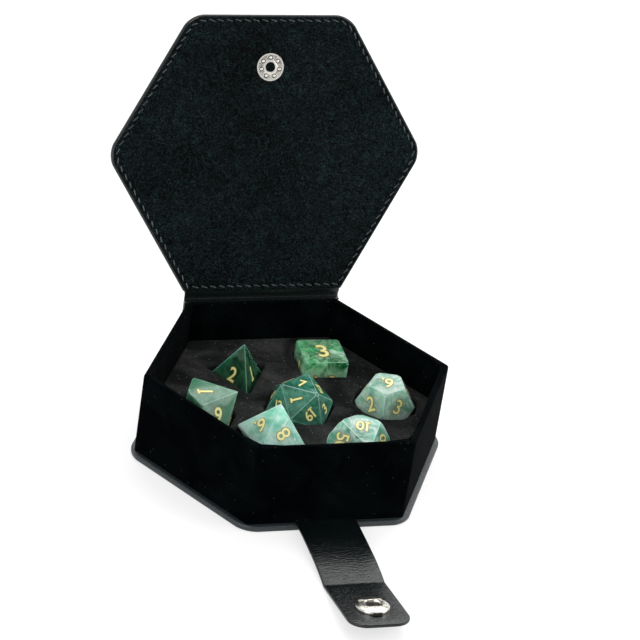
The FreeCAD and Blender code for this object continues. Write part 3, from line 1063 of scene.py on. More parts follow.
FINISHES: tuple[Finish, ...] = (
    Leather("black_cover_leather", gloss=0.22, dull=0.36, shine=0.40, depth=0.00002, wrinkle=3.0),
    # A lighter copy of the black cover leather for the base: a painted highlight along the base's
    # edge.
    Leather(
        "base_cover_leather", (0.016, 0.022, 0.025), (0.045, 0.058, 0.064), gloss=0.26, dull=0.4,
        depth=0.00003,
    ),
    Leather(
        "pebbled_lid_panel", (0.0001, 0.0006, 0.0008), (0.019, 0.040, 0.043), pebble=820.0,
        crease=1.0, depth=0.0003, gloss=0.42, dull=0.66, shine=0.05, curl_highlight=0.75,
    ),
    Leather(
        "strap_leather", pebble=950.0, depth=0.00002, gloss=0.15, dull=0.24, shine=0.40, wrinkle=7.5
    ),
    Pile(
        "tray_velvet_pile", (0.0001, 0.0006, 0.0009), (0.0026, 0.0046, 0.0052), fibre=1100.0,
        amount=0.014, sheen=0.011, shine=0.01,
    ),
    Pile(
        "foam_flock", (0.0060, 0.0070, 0.0068), (0.0500, 0.0520, 0.0500), fibre=1050.0,
        amount=0.14, sheen=0.04, shine=0.05, lint=(0.15, 0.15, 0.14), speck=950.0,
    ),
    # Painted highlight: the thread's pale mottle stands in for glints on the stitches.
    Plain("black_thread_twist", (0.002, 0.003, 0.003), (0.065, 0.08, 0.08), 0.24, 1100.0),
    Plain("pressed_greyboard", (0.26, 0.24, 0.21), (0.38, 0.36, 0.33), 0.9),
    Metal("polished_nickel", (0.84, 0.81, 0.75), rough=0.16, worn=0.32),
    # Painted shade: a dark matt finish for the snap's hollows, where only shade falls.
    Metal("tarnish_in_hollows", (0.012, 0.012, 0.011), rough=0.6, worn=0.8, metallic=0.0),
    Metal("drawn_spring_wire", (0.72, 0.68, 0.60), rough=0.2),
    Metal("black_enamel", (0.02, 0.022, 0.022), rough=0.2, worn=0.34, metallic=0.0),
    Plain("gilt_paint", (0.90, 0.84, 0.17), (0.94, 0.98, 0.57), 0.3, 2400.0, 0.00005),
    # Painted shade: a dark gilt for the rim round each number.
    Plain("gilt_rim", (0.15, 0.10, 0.008), (0.33, 0.24, 0.03), 0.35, 2400.0),
    # The ground edges are paler than their stone, partly for the frosted grinding and partly as a
    # painted highlight along the edges.
    Plain("ground_clear_edge", (0.12, 0.26, 0.22), (0.40, 0.56, 0.50), 0.2, 180.0),
    Plain("ground_milky_edge", (0.42, 0.60, 0.52), (0.58, 0.74, 0.66), 0.3),
    Plain("ground_green_edge", (0.10, 0.38, 0.22), (0.24, 0.54, 0.36), 0.3),
    Stone(
        "teal_stone", (0.003, 0.065, 0.045), (0.03, 0.25, 0.155), (0.36, 0.72, 0.56),
        milky=0.4, glow=0.3, clear=0.15, scale=80.0,
    ),
    Stone(
        "milky_stone", (0.02, 0.42, 0.27), (0.30, 0.78, 0.57), (0.84, 0.97, 0.92),
        milky=0.95, glow=1.1, clear=0.08, scale=80.0,
    ),
    Stone(
        "pale_stone", (0.13, 0.42, 0.27), (0.42, 0.64, 0.50), (0.84, 0.92, 0.87),
        milky=0.9, glow=0.4, clear=0.08, scale=70.0,
    ),
    Stone(
        "smoky_stone", (0.035, 0.18, 0.10), (0.13, 0.32, 0.20), (0.32, 0.50, 0.38),
        milky=0.6, glow=0.8, clear=0.15, scale=60.0,
    ),
    Stone(
        "mixed_stone", (0.015, 0.24, 0.14), (0.19, 0.50, 0.36), (0.88, 0.95, 0.92),
        milky=0.85, glow=0.0, clear=0.08, scale=75.0,
    ),
    Stone(
        "emerald_stone", (0.003, 0.11, 0.025), (0.08, 0.50, 0.18), (0.70, 1.0, 0.76),
        milky=0.7, glow=2.2, clear=0.1, scale=85.0,
    ),
    Stone(
        "forest_stone", (0.003, 0.025, 0.010), (0.014, 0.09, 0.042), (0.12, 0.34, 0.20),
        milky=0.3, glow=0.1, clear=0.0, scale=80.0,
    ),
)


class Look(Enum):
    """The finish and the record's material slot of each kind of piece."""

    # The base's leather is painted lighter than the lid's, a painted highlight along its edge.
    BASE = ("base_cover_leather", "black_leather")
    COVER = ("black_cover_leather", "black_leather")
    PANEL = ("pebbled_lid_panel", "grained_lining")
    STRAP = ("strap_leather", "strap_lining")
    VELVET = ("tray_velvet_pile", "black_velvet")
    FOAM = ("foam_flock", "flocked_foam")
    THREAD = ("black_thread_twist", "black_thread")
    STEEL = ("polished_nickel", "bright_steel")
    # Painted shade in the snap's hollows.
    HOLLOW = ("tarnish_in_hollows", "bright_steel")
    WIRE = ("drawn_spring_wire", "spring_wire")
    CAP = ("black_enamel", "black_cap")


# --------------------------------------------------------------------------------------------
# The case
# --------------------------------------------------------------------------------------------
@dataclass
class Case:
    """Keeps what the sub-assemblies share and puts each finished piece in its place.

    Attributes:
        finishes: The materials by name.
    """

    finishes: dict[str, bpy.types.Material]

    def coat(self, piece: Piece, finish: str) -> None:
        """Give a piece one material."""
        piece.data.materials.clear()
        piece.data.materials.append(self.finishes[finish])

    def dress(self, piece: Piece, look: Look, stands_for: Sequence[str]) -> None:
        """Give a piece its material and hide the nodes that it stands for.

        Args:
            piece: The finished piece.
            look: Its look.
            stands_for: The nodes that it replaces.
        """
        finish, slot = look.value
        self.coat(piece, finish)
        if stands_for:
            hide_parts(*stands_for)

    def seat(self, piece: Piece, body: str, look: Look, *stands_for: str) -> None:
        """Dress a piece and let it ride on a body.

        Args:
            piece: The finished piece.
            body: The body it rides on.
            look: Its look.
            stands_for: The nodes that it replaces.
        """
        self.dress(piece, look, stands_for)
        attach(piece, body)
        LOG.info("%s rides on %s, %d faces", piece.name, body, len(piece.data.polygons))

    def bend(
        self, piece: Piece, bodies: tuple[str, str], reach: Sequence[Point], look: Look,
        *stands_for: str,
    ) -> None:
        """Dress a piece and let it bend between two bodies.

        Args:
            piece: The finished piece.
            bodies: The two bodies.
            reach: The (y, z) points where the bend starts and ends, in millimetres. Not used.
            look: Its look.
            stands_for: The nodes that it replaces.
        """
        self.dress(piece, look, stands_for)
        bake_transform(piece)
        LOG.info("%s bends between %s and %s", piece.name, *bodies)

    def keep_nodes(self, finish: str, *names: str) -> None:
        """Give CAD nodes that stay their material.

        Args:
            finish: The material's name.
            names: The nodes.
        """
        for name in names:
            self.coat(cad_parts[name], finish)
            LOG.info("%s keeps its solid", name)


@dataclass
class Base(Case):
    """The flat base under the tray: leather wrapped round a board.

    Attributes:
        outline: The base's outline.
        top: The height of its top.
        edge: The radius of its rolled edge.
    """

    outline: HexOutline = HexOutline(120.387 * MM, 104.259 * MM, 0.0, 9.0 * MM, 1.5 * MM)
    top: float = 2.3 * MM
    edge: float = 0.7 * MM

    def build(self) -> None:
        """Model the cover and dress the board."""
        cover = self.outline.plate("base_cover", 0.0, self.top, 12)
        soften_edges(cover, level_at(self.top, 0.0), self.edge, 4)
        smooth(cover, 40.0)
        self.seat(cover, "tray", Look.BASE, "base_leather_wrap", "base_leather_top")
        self.keep_nodes("pressed_greyboard", "base_board")


@dataclass
class Tray(Case):
    """The six-sided tray: boards in a velvet cover, and the foam that holds the dice.

    Attributes:
        outline: The outline of the velvet.
        low: Where the walls stand.
        rim: The height of the rim.
        wall: The thickness of a covered wall.
        floor: The thickness of the velvet's floor.
        roll: The radius of the rim's rounding.
        weld: How close two corners of the foam's solid are before they are made one.
        fibre: The size of the foam's remeshed facets.
        clump: The size of the foam's unevenness.
        fuzz: The height of the foam's unevenness.
    """

    outline: HexOutline = HexOutline(116.0 * MM, 100.459 * MM, 0.0, 1.4 * MM, 1.4 * MM)
    low: float = 2.3 * MM
    rim: float = 34.0 * MM
    wall: float = 2.45 * MM
    floor: float = 0.1 * MM
    roll: float = 0.85 * MM
    weld: float = 0.002 * MM
    fibre: float = 0.55 * MM
    clump: float = 0.9 * MM
    fuzz: float = 0.16 * MM

    def build(self) -> None:
        """Model the cover and the foam, and dress the boards."""
        self.build_cover()
        self.build_foam()
        sides = ("front", "front_left", "front_right", "rear", "rear_left", "rear_right")
        self.keep_nodes("pressed_greyboard", *("wall_board_" + side for side in sides))
        self.keep_nodes("black_cover_leather", "spine_board")

    def off_middle(self, place: Vector) -> float:
        """Measure how far a place is from the middle, square to the nearest side."""
        normals = (math.radians(angle) for angle in (30.0, 90.0, 150.0))
        return max(abs(place.x * math.cos(n) + place.y * math.sin(n)) for n in normals)

    def runs_round(self, a: Vector, b: Vector) -> bool:
        """Whether an edge of the rim runs round it and not across it."""
        across = abs(self.off_middle(a) - self.off_middle(b))
        return level_at(self.rim)(a, b) and across < self.wall / 2.0

    def build_cover(self) -> None:
        """Model the velvet as a plate hollowed from above."""
        cover = self.outline.plate("velvet_cover", self.low, self.rim, 4)
        with editing(cover, Pick.FACES, lambda middle, normal: normal.z > 0.9):
            bpy.ops.mesh.inset(thickness=self.wall, depth=0.0, use_even_offset=True)
            extrude(0.0, 0.0, self.low + self.floor - self.rim)
        even_normals(cover)
        soften_edges(cover, self.runs_round, self.roll, 5)
        smooth(cover, 40.0)
        self.seat(cover, "tray", Look.VELVET, "tray_velvet")

    def build_foam(self) -> None:
        """Model the flocked foam over the shape of its solid, with soft edges and a fine pile."""
        foam = double(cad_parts["foam_insert"], Matrix.Identity(4))
        foam.name = foam.data.name = "foam_pad"
        with editing(foam, Pick.CORNERS):
            bpy.ops.mesh.remove_doubles(threshold=self.weld)
        settle(foam, "REMESH", mode="VOXEL", voxel_size=self.fibre, adaptivity=0.0)
        settle(foam, "SMOOTH", factor=0.5, iterations=3)
        pile = bpy.data.textures.new("flock_unevenness", "CLOUDS")
        pile.noise_scale = self.clump
        pile.noise_depth = 2
        settle(
            foam, "DISPLACE", texture=pile, texture_coords="LOCAL", strength=self.fuzz,
            mid_level=0.5,
        )
        take_up(foam)
        bpy.ops.object.shade_smooth()
        self.seat(foam, "tray", Look.FOAM, "foam_insert")


@dataclass
class Hinge(Case):
    """The leather that joins the lid to the tray: the spine outside and a thin strip inside.

    Points are (y, z) in millimetres.

    Attributes:
        half: Half of the width of both.
        outer: The points of the spine's outer face.
        outer_reach: Where the spine's bend starts and ends.
        inner: The points of the inner strip's face.
        inner_reach: Where the strip's bend starts and ends.
    """

    half: float = 30.09 * MM
    outer: tuple[Point, ...] = (
        (51.83, 2.3), (51.83, 12.0), (51.83, 22.0), (51.83, 31.0), (51.83, 34.4), (51.84, 35.2),
        (51.92, 35.7), (52.1, 36.1), (52.35, 36.45), (52.6, 36.75), (52.8, 37.2), (53.0, 37.75),
        (53.33, 38.6),
    )
    outer_reach: tuple[Point, Point] = ((51.83, 35.0), (52.7, 37.3))
    inner: tuple[Point, ...] = (
        (49.2, 33.72), (49.45, 33.93), (49.8, 34.03), (50.4, 34.06), (50.95, 34.1), (51.28, 34.35),
        (51.36, 34.8), (51.3, 35.5), (51.05, 35.95), (50.95, 36.4), (51.0, 36.9), (50.9, 37.5),
    )
    inner_reach: tuple[Point, Point] = ((51.28, 34.6), (51.0, 36.8))

    def build(self) -> None:
        """Model both strips."""
        both = ("tray", "lid")
        spine = ribbon("spine_cover", self.half, to_metres(self.outer), 0.5 * MM)
        self.bend(spine, both, self.outer_reach, Look.COVER, "spine_leather")
        strip = ribbon("hinge_lining", self.half, to_metres(self.inner), 0.3 * MM)
        nodes = ("hinge_strip_lower", "hinge_strip_upper")
        self.bend(strip, both, self.inner_reach, Look.COVER, *nodes)


@dataclass
class Lid(Case):
    """The lid, modelled shut and then opened: leather, panel, stitching, eyelet and stud.

    Profiles are (radius, height) points, and grooves are (inset, sink) steps, in millimetres.

    Attributes:
        outline: The lid's outline.
        face: The height of the inner face when shut.
        top: The height of the outer face when shut.
        hinge: The (y, z) of the hinge line.
        opened: The angle that the lid stands open, in degrees.
        snap: The Y of the snap when shut.
        rebate: How far the leather's inner edge stands back from the inner face.
        rolls: The radii of the leather's outer and inner edge.
        cover_groove: The groove beside the stitches outside.
        trim: From the lid's edge to the panel.
        proud: How far the panel stands out of the inner face.
        seam: How deep the panel reaches into the leather.
        panel_groove: The groove beside the stitches inside.
        inset: From the lid's edge to the stitches.
        pitch: From one stitch to the next.
        length: A stitch's length.
        thread: Half of the thread's width.
        slant: How far a stitch leans from its row, in degrees.
        flange: The eyelet's profile.
        boss: The profile of a boss on the eyelet.
        ring: The radius of the ring of bosses.
        boss_shade: The profile of the dark disc round a boss, painted shade where it meets the
            flange.
        hole_shade: The profile of the dark disc in the eyelet's hole, painted shade.
        stud: The stud's profile.
    """

    outline: HexOutline = HexOutline(122.2 * MM, 103.2 * MM, -0.57 * MM, 9.0 * MM, 1.5 * MM)
    face: float = 34.15 * MM
    top: float = 36.75 * MM
    hinge: Point = (51.8295 * MM, 36.15 * MM)
    opened: float = 110.3
    snap: float = -32.97 * MM
    rebate: float = 0.35 * MM
    rolls: Point = (0.55 * MM, 0.8 * MM)
    cover_groove: tuple[Point, ...] = (
        (0.7, 0.0), (1.2, 0.14), (1.8, 0.0), (2.4, -0.1), (3.6, -0.02),
    )
    trim: float = 0.6 * MM
    proud: float = 0.06 * MM
    seam: float = 0.9 * MM
    panel_groove: tuple[Point, ...] = (
        (0.4, 0.0), (0.8, 0.2), (1.3, 0.0), (1.8, -0.2), (3.2, -0.04),
    )
    inset: float = 2.0 * MM
    pitch: float = 3.4 * MM
    length: float = 2.5 * MM
    thread: float = 0.32 * MM
    slant: float = 17.0
    flange: tuple[Point, ...] = (
        (1.6, 2.6), (5.3, 0.6), (5.3, 0.16), (5.2, 0.02), (5.0, -0.04), (4.6, 0.0), (2.7, 0.0),
        (2.5, -0.08), (2.2, -0.14), (1.95, -0.1), (1.75, 0.08), (1.68, 0.4), (1.5, 1.6),
    )
    boss: tuple[Point, ...] = (
        (0.6, 0.2), (0.58, 0.0), (0.53, -0.12), (0.4, -0.22), (0.24, -0.26), (0.08, -0.27),
    )
    ring: float = 3.55 * MM
    boss_shade: tuple[Point, ...] = ((0.84, 0.3), (0.84, -0.012), (0.3, -0.012))
    hole_shade: tuple[Point, ...] = ((1.72, 0.5), (1.72, 0.3))
    stud: tuple[Point, ...] = (
        (4.6, -0.28), (5.0, -0.1), (5.0, 0.02), (4.85, 0.12), (2.6, 0.12), (2.2, 0.22), (2.0, 0.5),
        (2.0, 0.9), (2.2, 1.1), (2.3, 1.3), (2.3, 1.6), (2.1, 1.82), (1.7, 1.92), (0.9, 1.92),
        (0.7, 1.7), (0.4, 1.66),
    )

    def build(self) -> None:
        """Model each piece of the lid."""
        self.build_cover()
        self.build_panel()
        self.build_thread()
        self.build_eyelet()
        stud = lathe("snap_stud", self.stud, self.top, self.snap)
        self.open(stud, Look.STEEL, "lid_snap_stud")
        self.keep_nodes("pressed_greyboard", "lid_board")

    def open(self, piece: Piece, look: Look, *stands_for: str) -> None:
        """Swing a piece from the shut lid to the open one and let it ride on the lid."""
        apply_place(piece, turn_about(*self.hinge, -self.opened))
        self.seat(piece, "lid", look, *stands_for)

    def build_cover(self) -> None:
        """Model the leather that wraps the board and rolls over its edge."""
        low = self.face + self.rebate
        cover = self.outline.plate("lid_cover", low, self.top, 12)
        soften_edges(cover, level_at(self.top), self.rolls[0], 4)
        soften_edges(cover, level_at(low), self.rolls[1], 5)
        self.outline.within(self.rolls[0]).terrace(cover, 1.0, self.cover_groove)
        smooth(cover, 60.0)
        self.open(cover, Look.COVER, "lid_leather")

    def build_panel(self) -> None:
        """Model the grained panel inside the lid, with a stitched groove along its edge."""
        low, roll = self.face - self.proud, 0.3 * MM
        panel = self.outline.within(self.trim).plate("lid_panel", low, self.face + self.seam, 12)
        soften_edges(panel, level_at(low), roll, 3)
        self.outline.within(self.trim + roll).terrace(panel, -1.0, self.panel_groove)
        smooth(panel, 60.0)
        self.open(panel, Look.PANEL, "lid_lining")

    def build_thread(self) -> None:
        """Model one stitch and lay copies of it round both faces."""
        stitch = add("uv_sphere", "stitch", segments=8, ring_count=6, radius=self.thread)
        with editing(stitch, Pick.CORNERS, lambda corner: corner.z > HAIR):
            bpy.ops.transform.translate(value=(0.0, 0.0, self.length - 2.0 * self.thread))
        middle = Matrix.Translation((0.0, 0.0, self.thread - self.length / 2.0))
        lie = Matrix.Rotation(math.radians(90.0), 4, "Y") @ middle
        inside, outside = self.face + 0.20 * MM, self.top - 0.06 * MM
        laid = []
        for level, lean in ((inside, self.slant), (outside, -self.slant)):
            for place, along in self.outline.within(self.inset).walk(self.pitch):
                heading = math.atan2(along.y, along.x) + math.radians(lean)
                spot = Matrix.Translation((place.x, place.y, level))
                laid.append(double(stitch, spot @ Matrix.Rotation(heading, 4, "Z") @ lie))
        discard(stitch)
        thread = join(laid, "lid_thread")
        smooth(thread, 60.0)
        self.open(thread, Look.THREAD, "lid_stitching")

    def build_eyelet(self) -> None:
        """Model the eyelet's flange with its open mouth and its ring of bosses, with dark discs of
        painted shade round the bosses and in the hole.
        """
        low = self.face - 0.1 * MM
        pieces = [lathe("eyelet_flange", self.flange, low, self.snap)]
        # Dark discs of painted shade round the bosses and in the hole.
        hollows = []
        for index in range(7):
            bearing = math.radians(360.0 / 7.0 * index - 90.0)
            x, y = self.ring * math.cos(bearing), self.snap + self.ring * math.sin(bearing)
            pieces.append(lathe(f"eyelet_boss_{index}", self.boss, low, y, x, 20))
            hollows.append(lathe(f"eyelet_bed_{index}", self.boss_shade, low, y, x, 20))
        hollows.append(lathe("eyelet_bore", self.hole_shade, low, self.snap))
        self.open(join(pieces, "snap_eyelet"), Look.STEEL, "lid_snap_eyelet")
        self.open(join(hollows, "eyelet_hollows"), Look.HOLLOW)


@dataclass
class Strap(Case):
    """The snap strap: a run from under the tray to its fold, and the flap with the snap's socket.

    Paths are (y, z) points and profiles (radius, height) points, in millimetres.

    Attributes:
        half: Half of the strap's width.
        thick: Its thickness.
        root: The path of its upper face from the tray to the middle of the riser.
        root_reach: Where the root's bend starts and ends.
        riser: The path on to the fold.
        fold: The (y, z) of the fold.
        fold_reach: Where the fold's bend starts and ends.
        lift: The angle that the flap rises, in degrees.
        along: How far the points of the flap are from the fold, in millimetres.
        tip: The radius of the tip's corners.
        reach: From the fold to the middle of the snap.
        socket: The socket's profile: a low drum with a rolled rim and an open mouth.
        mouth: The profile of the dark disc on the mouth's floor, painted shade.
        notch: Half of the width, the depth, and the low and high end of the notch in its front.
        drum: From the snap's middle to the faces that the notch is cut from, at least.
        shade_block_size: The size of the dark block of painted shade in the notch, along X, Y and
            Z.
        shade_block_place: How far in front of the snap's middle and how high the dark block's
            middle lies.
        wire: The radius of the two springy wires.
        wire_start: Where a wire starts from the snap's middle, along X, Y and Z.
        wire_runs: The runs of a wire from its first end, along X and Y, in millimetres.
        cap: The profile of the domed cap under the flap.
    """

    half: float = 11.15 * MM
    thick: float = 1.2 * MM
    root: tuple[Point, ...] = (
        (-38.2, 3.1), (-46.0, 3.1), (-50.5, 3.1), (-52.5, 3.12), (-54.5, 3.16), (-57.0, 3.19),
        (-60.0, 3.2), (-63.5, 3.16), (-66.5, 3.1), (-69.6, 3.02),
    )
    root_reach: tuple[Point, Point] = ((-51.0, 3.1), (-54.5, 3.1))
    riser: tuple[Point, ...] = (
        (-69.6, 3.02), (-72.5, 2.945), (-75.5, 2.77), (-78.0, 2.54), (-80.5, 2.24), (-82.8, 1.92),
        (-84.4, 1.66), (-85.6, 1.42), (-86.3, 1.29), (-86.68, 1.25),
    )
    fold: Point = (-86.6789 * MM, 1.23 * MM)
    fold_reach: tuple[Point, Point] = ((-84.6, 1.25), (-88.6, 1.25))
    lift: float = 10.5
    along: tuple[float, ...] = (0.5, 1.2, 2.2, 4.0, 8.0, 14.0, 20.0, 32.2)
    tip: float = 6.5 * MM
    reach: float = 19.63 * MM
    socket: tuple[Point, ...] = (
        (5.7, -0.05), (5.85, 0.02), (5.9, 0.1), (5.9, 1.1), (5.82, 1.25), (5.5, 1.45), (5.0, 1.62),
        (4.2, 1.8), (3.4, 1.92), (2.95, 1.93), (2.75, 1.84), (2.65, 1.6), (2.65, 0.4), (1.2, 0.32),
    )
    mouth: tuple[Point, ...] = ((2.64, 0.42), (2.64, 0.55), (1.6, 0.55), (0.2, 0.55))
    notch: tuple[float, ...] = (1.95 * MM, 1.1 * MM, 0.15 * MM, 1.05 * MM)
    drum: float = 5.4 * MM
    shade_block_size: Place = (3.7 * MM, 0.8 * MM, 0.92 * MM)
    shade_block_place: Point = (4.95 * MM, 0.59 * MM)
    wire: float = 0.22 * MM
    wire_start: Place = (4.3 * MM, 2.9 * MM, 1.86 * MM)
    wire_runs: tuple[Point, ...] = (
        (2.0, -0.2), (2.0, -0.15), (2.0, 0.1), (1.6, 0.25), (0.45, -0.1), (0.25, -0.4),
    )
    cap: tuple[Point, ...] = (
        (5.9, 0.04), (6.2, -0.08), (6.2, -0.42), (6.05, -0.7), (5.6, -1.0), (4.8, -1.25),
        (3.6, -1.42), (2.0, -1.49), (0.6, -1.5),
    )

    @property
    def snap(self) -> float:
        """The Y of the snap on the flat flap."""
        return self.fold[0] - self.reach

    def build(self) -> None:
        """Model both runs and the snap."""
        self.build_runs()
        self.build_socket()
        self.build_spring()
        cap = lathe("snap_cap", self.cap, self.fold[1] - self.thick, self.snap)
        self.tilt(cap, Look.CAP, "strap_snap_cap")

    def tilt(self, piece: Piece, look: Look, *stands_for: str) -> None:
        """Turn a piece drawn on the flat flap to the flap's rise and let it ride on the flap."""
        apply_place(piece, turn_about(*self.fold, -self.lift))
        self.seat(piece, "strap_flap", look, *stands_for)

    def build_runs(self) -> None:
        """Model the run out of the tray, and the run over the fold to the rounded tip."""
        path = to_metres(self.root)
        run = ribbon("strap_root_run", self.half, path, self.thick, joined=path[-1][0])
        nodes = ("strap_root", "strap_riser_leather", "strap_riser_lining")
        self.bend(run, ("tray", "strap_riser"), self.root_reach, Look.STRAP, *nodes)
        path = to_metres(self.riser)
        rise = math.radians(self.lift)
        clear = 0.02 * MM
        for along in self.along:
            y = self.fold[0] - along * MM * math.cos(rise)
            path.append((y, self.fold[1] + along * MM * math.sin(rise) + clear))
        flap = ribbon("strap_flap_run", self.half, path, self.thick, self.tip, path[0][0])
        nodes = ("strap_flap_leather", "strap_flap_lining")
        self.bend(flap, ("strap_riser", "strap_flap"), self.fold_reach, Look.STRAP, *nodes)

    def build_socket(self) -> None:
        """Model the socket with the notch in its front, and dark pieces of painted shade in its
        mouth and its notch.
        """
        top = self.fold[1]
        socket = lathe("snap_socket", self.socket, top, self.snap, steps=64)
        half, deep, low, high = self.notch
        front = self.snap - self.drum
        with editing(
            socket, Pick.FACES,
            lambda c, normal: abs(c.x) < half and c.y < front and top + low < c.z < top + high,
        ):
            extrude(0.0, deep, 0.0)
        smooth(socket, 32.0)
        self.tilt(socket, Look.STEEL, "strap_snap_socket")
        # A dark disc on the mouth's floor and a dark block in the notch: painted shade.
        mouth_shade = lathe("socket_mouth", self.mouth, top, self.snap)
        ahead, rise = self.shade_block_place
        spot = (0.0, self.snap - ahead, top + rise)
        notch = add("cube", "socket_notch", self.shade_block_size, size=1.0, location=spot)
        self.tilt(join([mouth_shade, notch], "socket_hollows"), Look.HOLLOW)

    def build_spring(self) -> None:
        """Model the two springy wires across the mouth, each with turned-in ends."""
        out, ahead, rise = self.wire_start
        wires = []
        for side in (-1.0, 1.0):
            start = (-side * out, self.snap + side * ahead, self.fold[1] + rise)
            turn = (0.0, math.radians(90.0), 0.0)
            wire = add(
                "circle", f"wire_{int(side)}", vertices=10, radius=self.wire, fill_type="NGON",
                rotation=turn, location=start,
            )
            with editing(wire, Pick.FACES):
                for x, y in self.wire_runs:
                    extrude(side * x * MM, side * y * MM, 0.0)
            even_normals(wire)
            wires.append(wire)
        spring = join(wires, "snap_spring")
        smooth(spring, 60.0)
        self.tilt(spring, Look.WIRE, "strap_snap_spring")


# --------------------------------------------------------------------------------------------
# The dice
# --------------------------------------------------------------------------------------------
def signed(values: Sequence[float]) -> list[tuple[float, ...]]:
    """Give the values every combination of signs, without repeats.

    Args:
        values: The values.

    Returns:
        The points, sorted.
    """
    points: set[tuple[float, ...]] = {()}
    for value in values:
        points = {p + (s * value,) for p in points for s in ((1, -1) if value else (1,))}
    return sorted(points)


class Solid(Enum):
    """The regular shapes of the dice."""

    TETRAHEDRON = "d4"
    CUBE = "d6"
    OCTAHEDRON = "d8"
    TRAPEZOHEDRON = "d10"
    DODECAHEDRON = "d12"
    ICOSAHEDRON = "d20"

    def corners(self, size: float, waist: float) -> list[tuple[float, ...]]:
        """List the corners round the middle.

        Args:
            size: The edge, or the distance to a pole for the trapezohedron.
            waist: The distance to a corner of the trapezohedron's waist.

        Returns:
            The corners.
        """
        golden = (1.0 + math.sqrt(5.0)) / 2.0
        if self is Solid.TETRAHEDRON:
            rise, ring = size * math.sqrt(2.0 / 3.0), size / math.sqrt(3.0)
            angles = [math.radians(bearing) for bearing in (-90, 30, 150)]
            base = [(ring * math.cos(a), ring * math.sin(a), -rise / 4.0) for a in angles]
            return base + [(0.0, 0.0, 0.75 * rise)]
        if self is Solid.CUBE:
            return signed((size / 2.0,) * 3)
        if self is Solid.OCTAHEDRON:
            far = size / math.sqrt(2.0)
            return [p for k in range(3) for p in signed([far if i == k else 0.0 for i in range(3)])]
        if self is Solid.TRAPEZOHEDRON:
            fifth = math.pi / 5.0
            lift = size * (1.0 - math.cos(fifth)) / (1.0 + math.cos(fifth))
            levels = [(fifth * k, lift if k % 2 else -lift) for k in range(10)]
            ring = [(waist * math.cos(a), waist * math.sin(a), level) for a, level in levels]
            return ring + [(0.0, 0.0, size), (0.0, 0.0, -size)]
        unit = size * golden / 2.0
        if self is Solid.DODECAHEDRON:
            points, seed = list(signed((unit, unit, unit))), (0.0, unit / golden, unit * golden)
        else:
            points, seed = [], (0.0, size / 2.0, unit)
        for x, y, z in signed(seed):
            points += [(x, y, z), (y, z, x), (z, x, y)]
        return points


def flat_faces(corners: Sequence[Vector]) -> list[Face]:
    """Find the faces of a convex solid round the origin.

    Args:
        corners: Its corners.

    Returns:
        For each face its outward normal, its middle and its corners in order.
    """
    size = max(c.length for c in corners)
    slack = 1e-4 * size
    found: list[Face] = []
    for i, one in enumerate(corners):
        for j in range(i + 1, len(corners)):
            for k in range(j + 1, len(corners)):
                normal = (corners[j] - one).cross(corners[k] - one)
                if normal.length < 1e-5 * size * size:
                    continue
                normal.normalize()
                level = normal.dot(one)
                if level < 0.0:
                    normal, level = -normal, -level
                if max(normal.dot(c) for c in corners) > level + slack:
                    continue
                if any(normal.dot(other) > 0.9999 for other, _, _ in found):
                    continue
                flat = [c for c in corners if abs(normal.dot(c) - level) < slack]
                middle = sum(flat, Vector()) / len(flat)
                first = (flat[0] - middle).normalized()
                second = normal.cross(first)

                def bearing(corner: Vector) -> float:
                    """Give a corner's angle round the face, just above 0 for the first."""
                    arm = corner - middle
                    return (math.atan2(arm.dot(second), arm.dot(first)) + 1e-3) % math.tau

                found.append((normal, middle, sorted(flat, key=bearing)))
    return found


@dataclass(frozen=True)
class Numeral:
    """A number on one face of a die.

    Attributes:
        text: What it says.
        up: The index of the face's corner that its top points to.
        twist: A further turn in degrees, anticlockwise.
    """

    text: str
    up: int
    twist: float


@dataclass(frozen=True)
class Ink:
    """One layer of a number.

    Attributes:
        finish: Its finish.
        swell: How far its outline is swollen, as a share of the type's size.
        height: How far it stands off the face, in millimetres.
    """

    finish: str
    swell: float
    height: float


@dataclass(frozen=True)
class Die:
    """One die, with its lengths in millimetres.

    Attributes:
        name: Its name, which ends its node's and its body's name.
        solid: Its shape.
        size: Its edge, or the distance to a pole.
        turns: Its yaw, pitch and roll in degrees.
        stone: The finish of its stone.
        edge: The finish of its ground edges.
        height: The height of its numbers.
        numbers: The number of each face in order. A slash leads in the corner that the number's
            top points to, and a second slash its twist.
        waist: The distance to a corner of the ten-sided die's waist.
    """

    name: str
    solid: Solid
    size: float
    turns: tuple[float, float, float]
    stone: str
    edge: str
    height: float
    numbers: str
    waist: float = 0.0

    @property
    def node(self) -> str:
        """The name of its node and its body."""
        return "die_" + self.name

    def middle(self) -> Vector:
        """Find the middle of the die from its node's box.

        Returns:
            The middle.
        """
        low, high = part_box(self.node)
        middle = (low + high) / 2.0
        if self.solid is Solid.TETRAHEDRON:
            middle.y = high.y - self.size * MM / math.sqrt(12.0)
            middle.z = low.z + self.size * MM * math.sqrt(2.0 / 3.0) / 4.0
        return middle

    def numerals(self) -> list[Numeral]:
        """Read its numbers, face by face."""
        parts = [(word + "//").split("/") for word in self.numbers.split()]
        return [Numeral(text, int(up or 0), float(twist or 0.0)) for text, up, twist, *_ in parts]


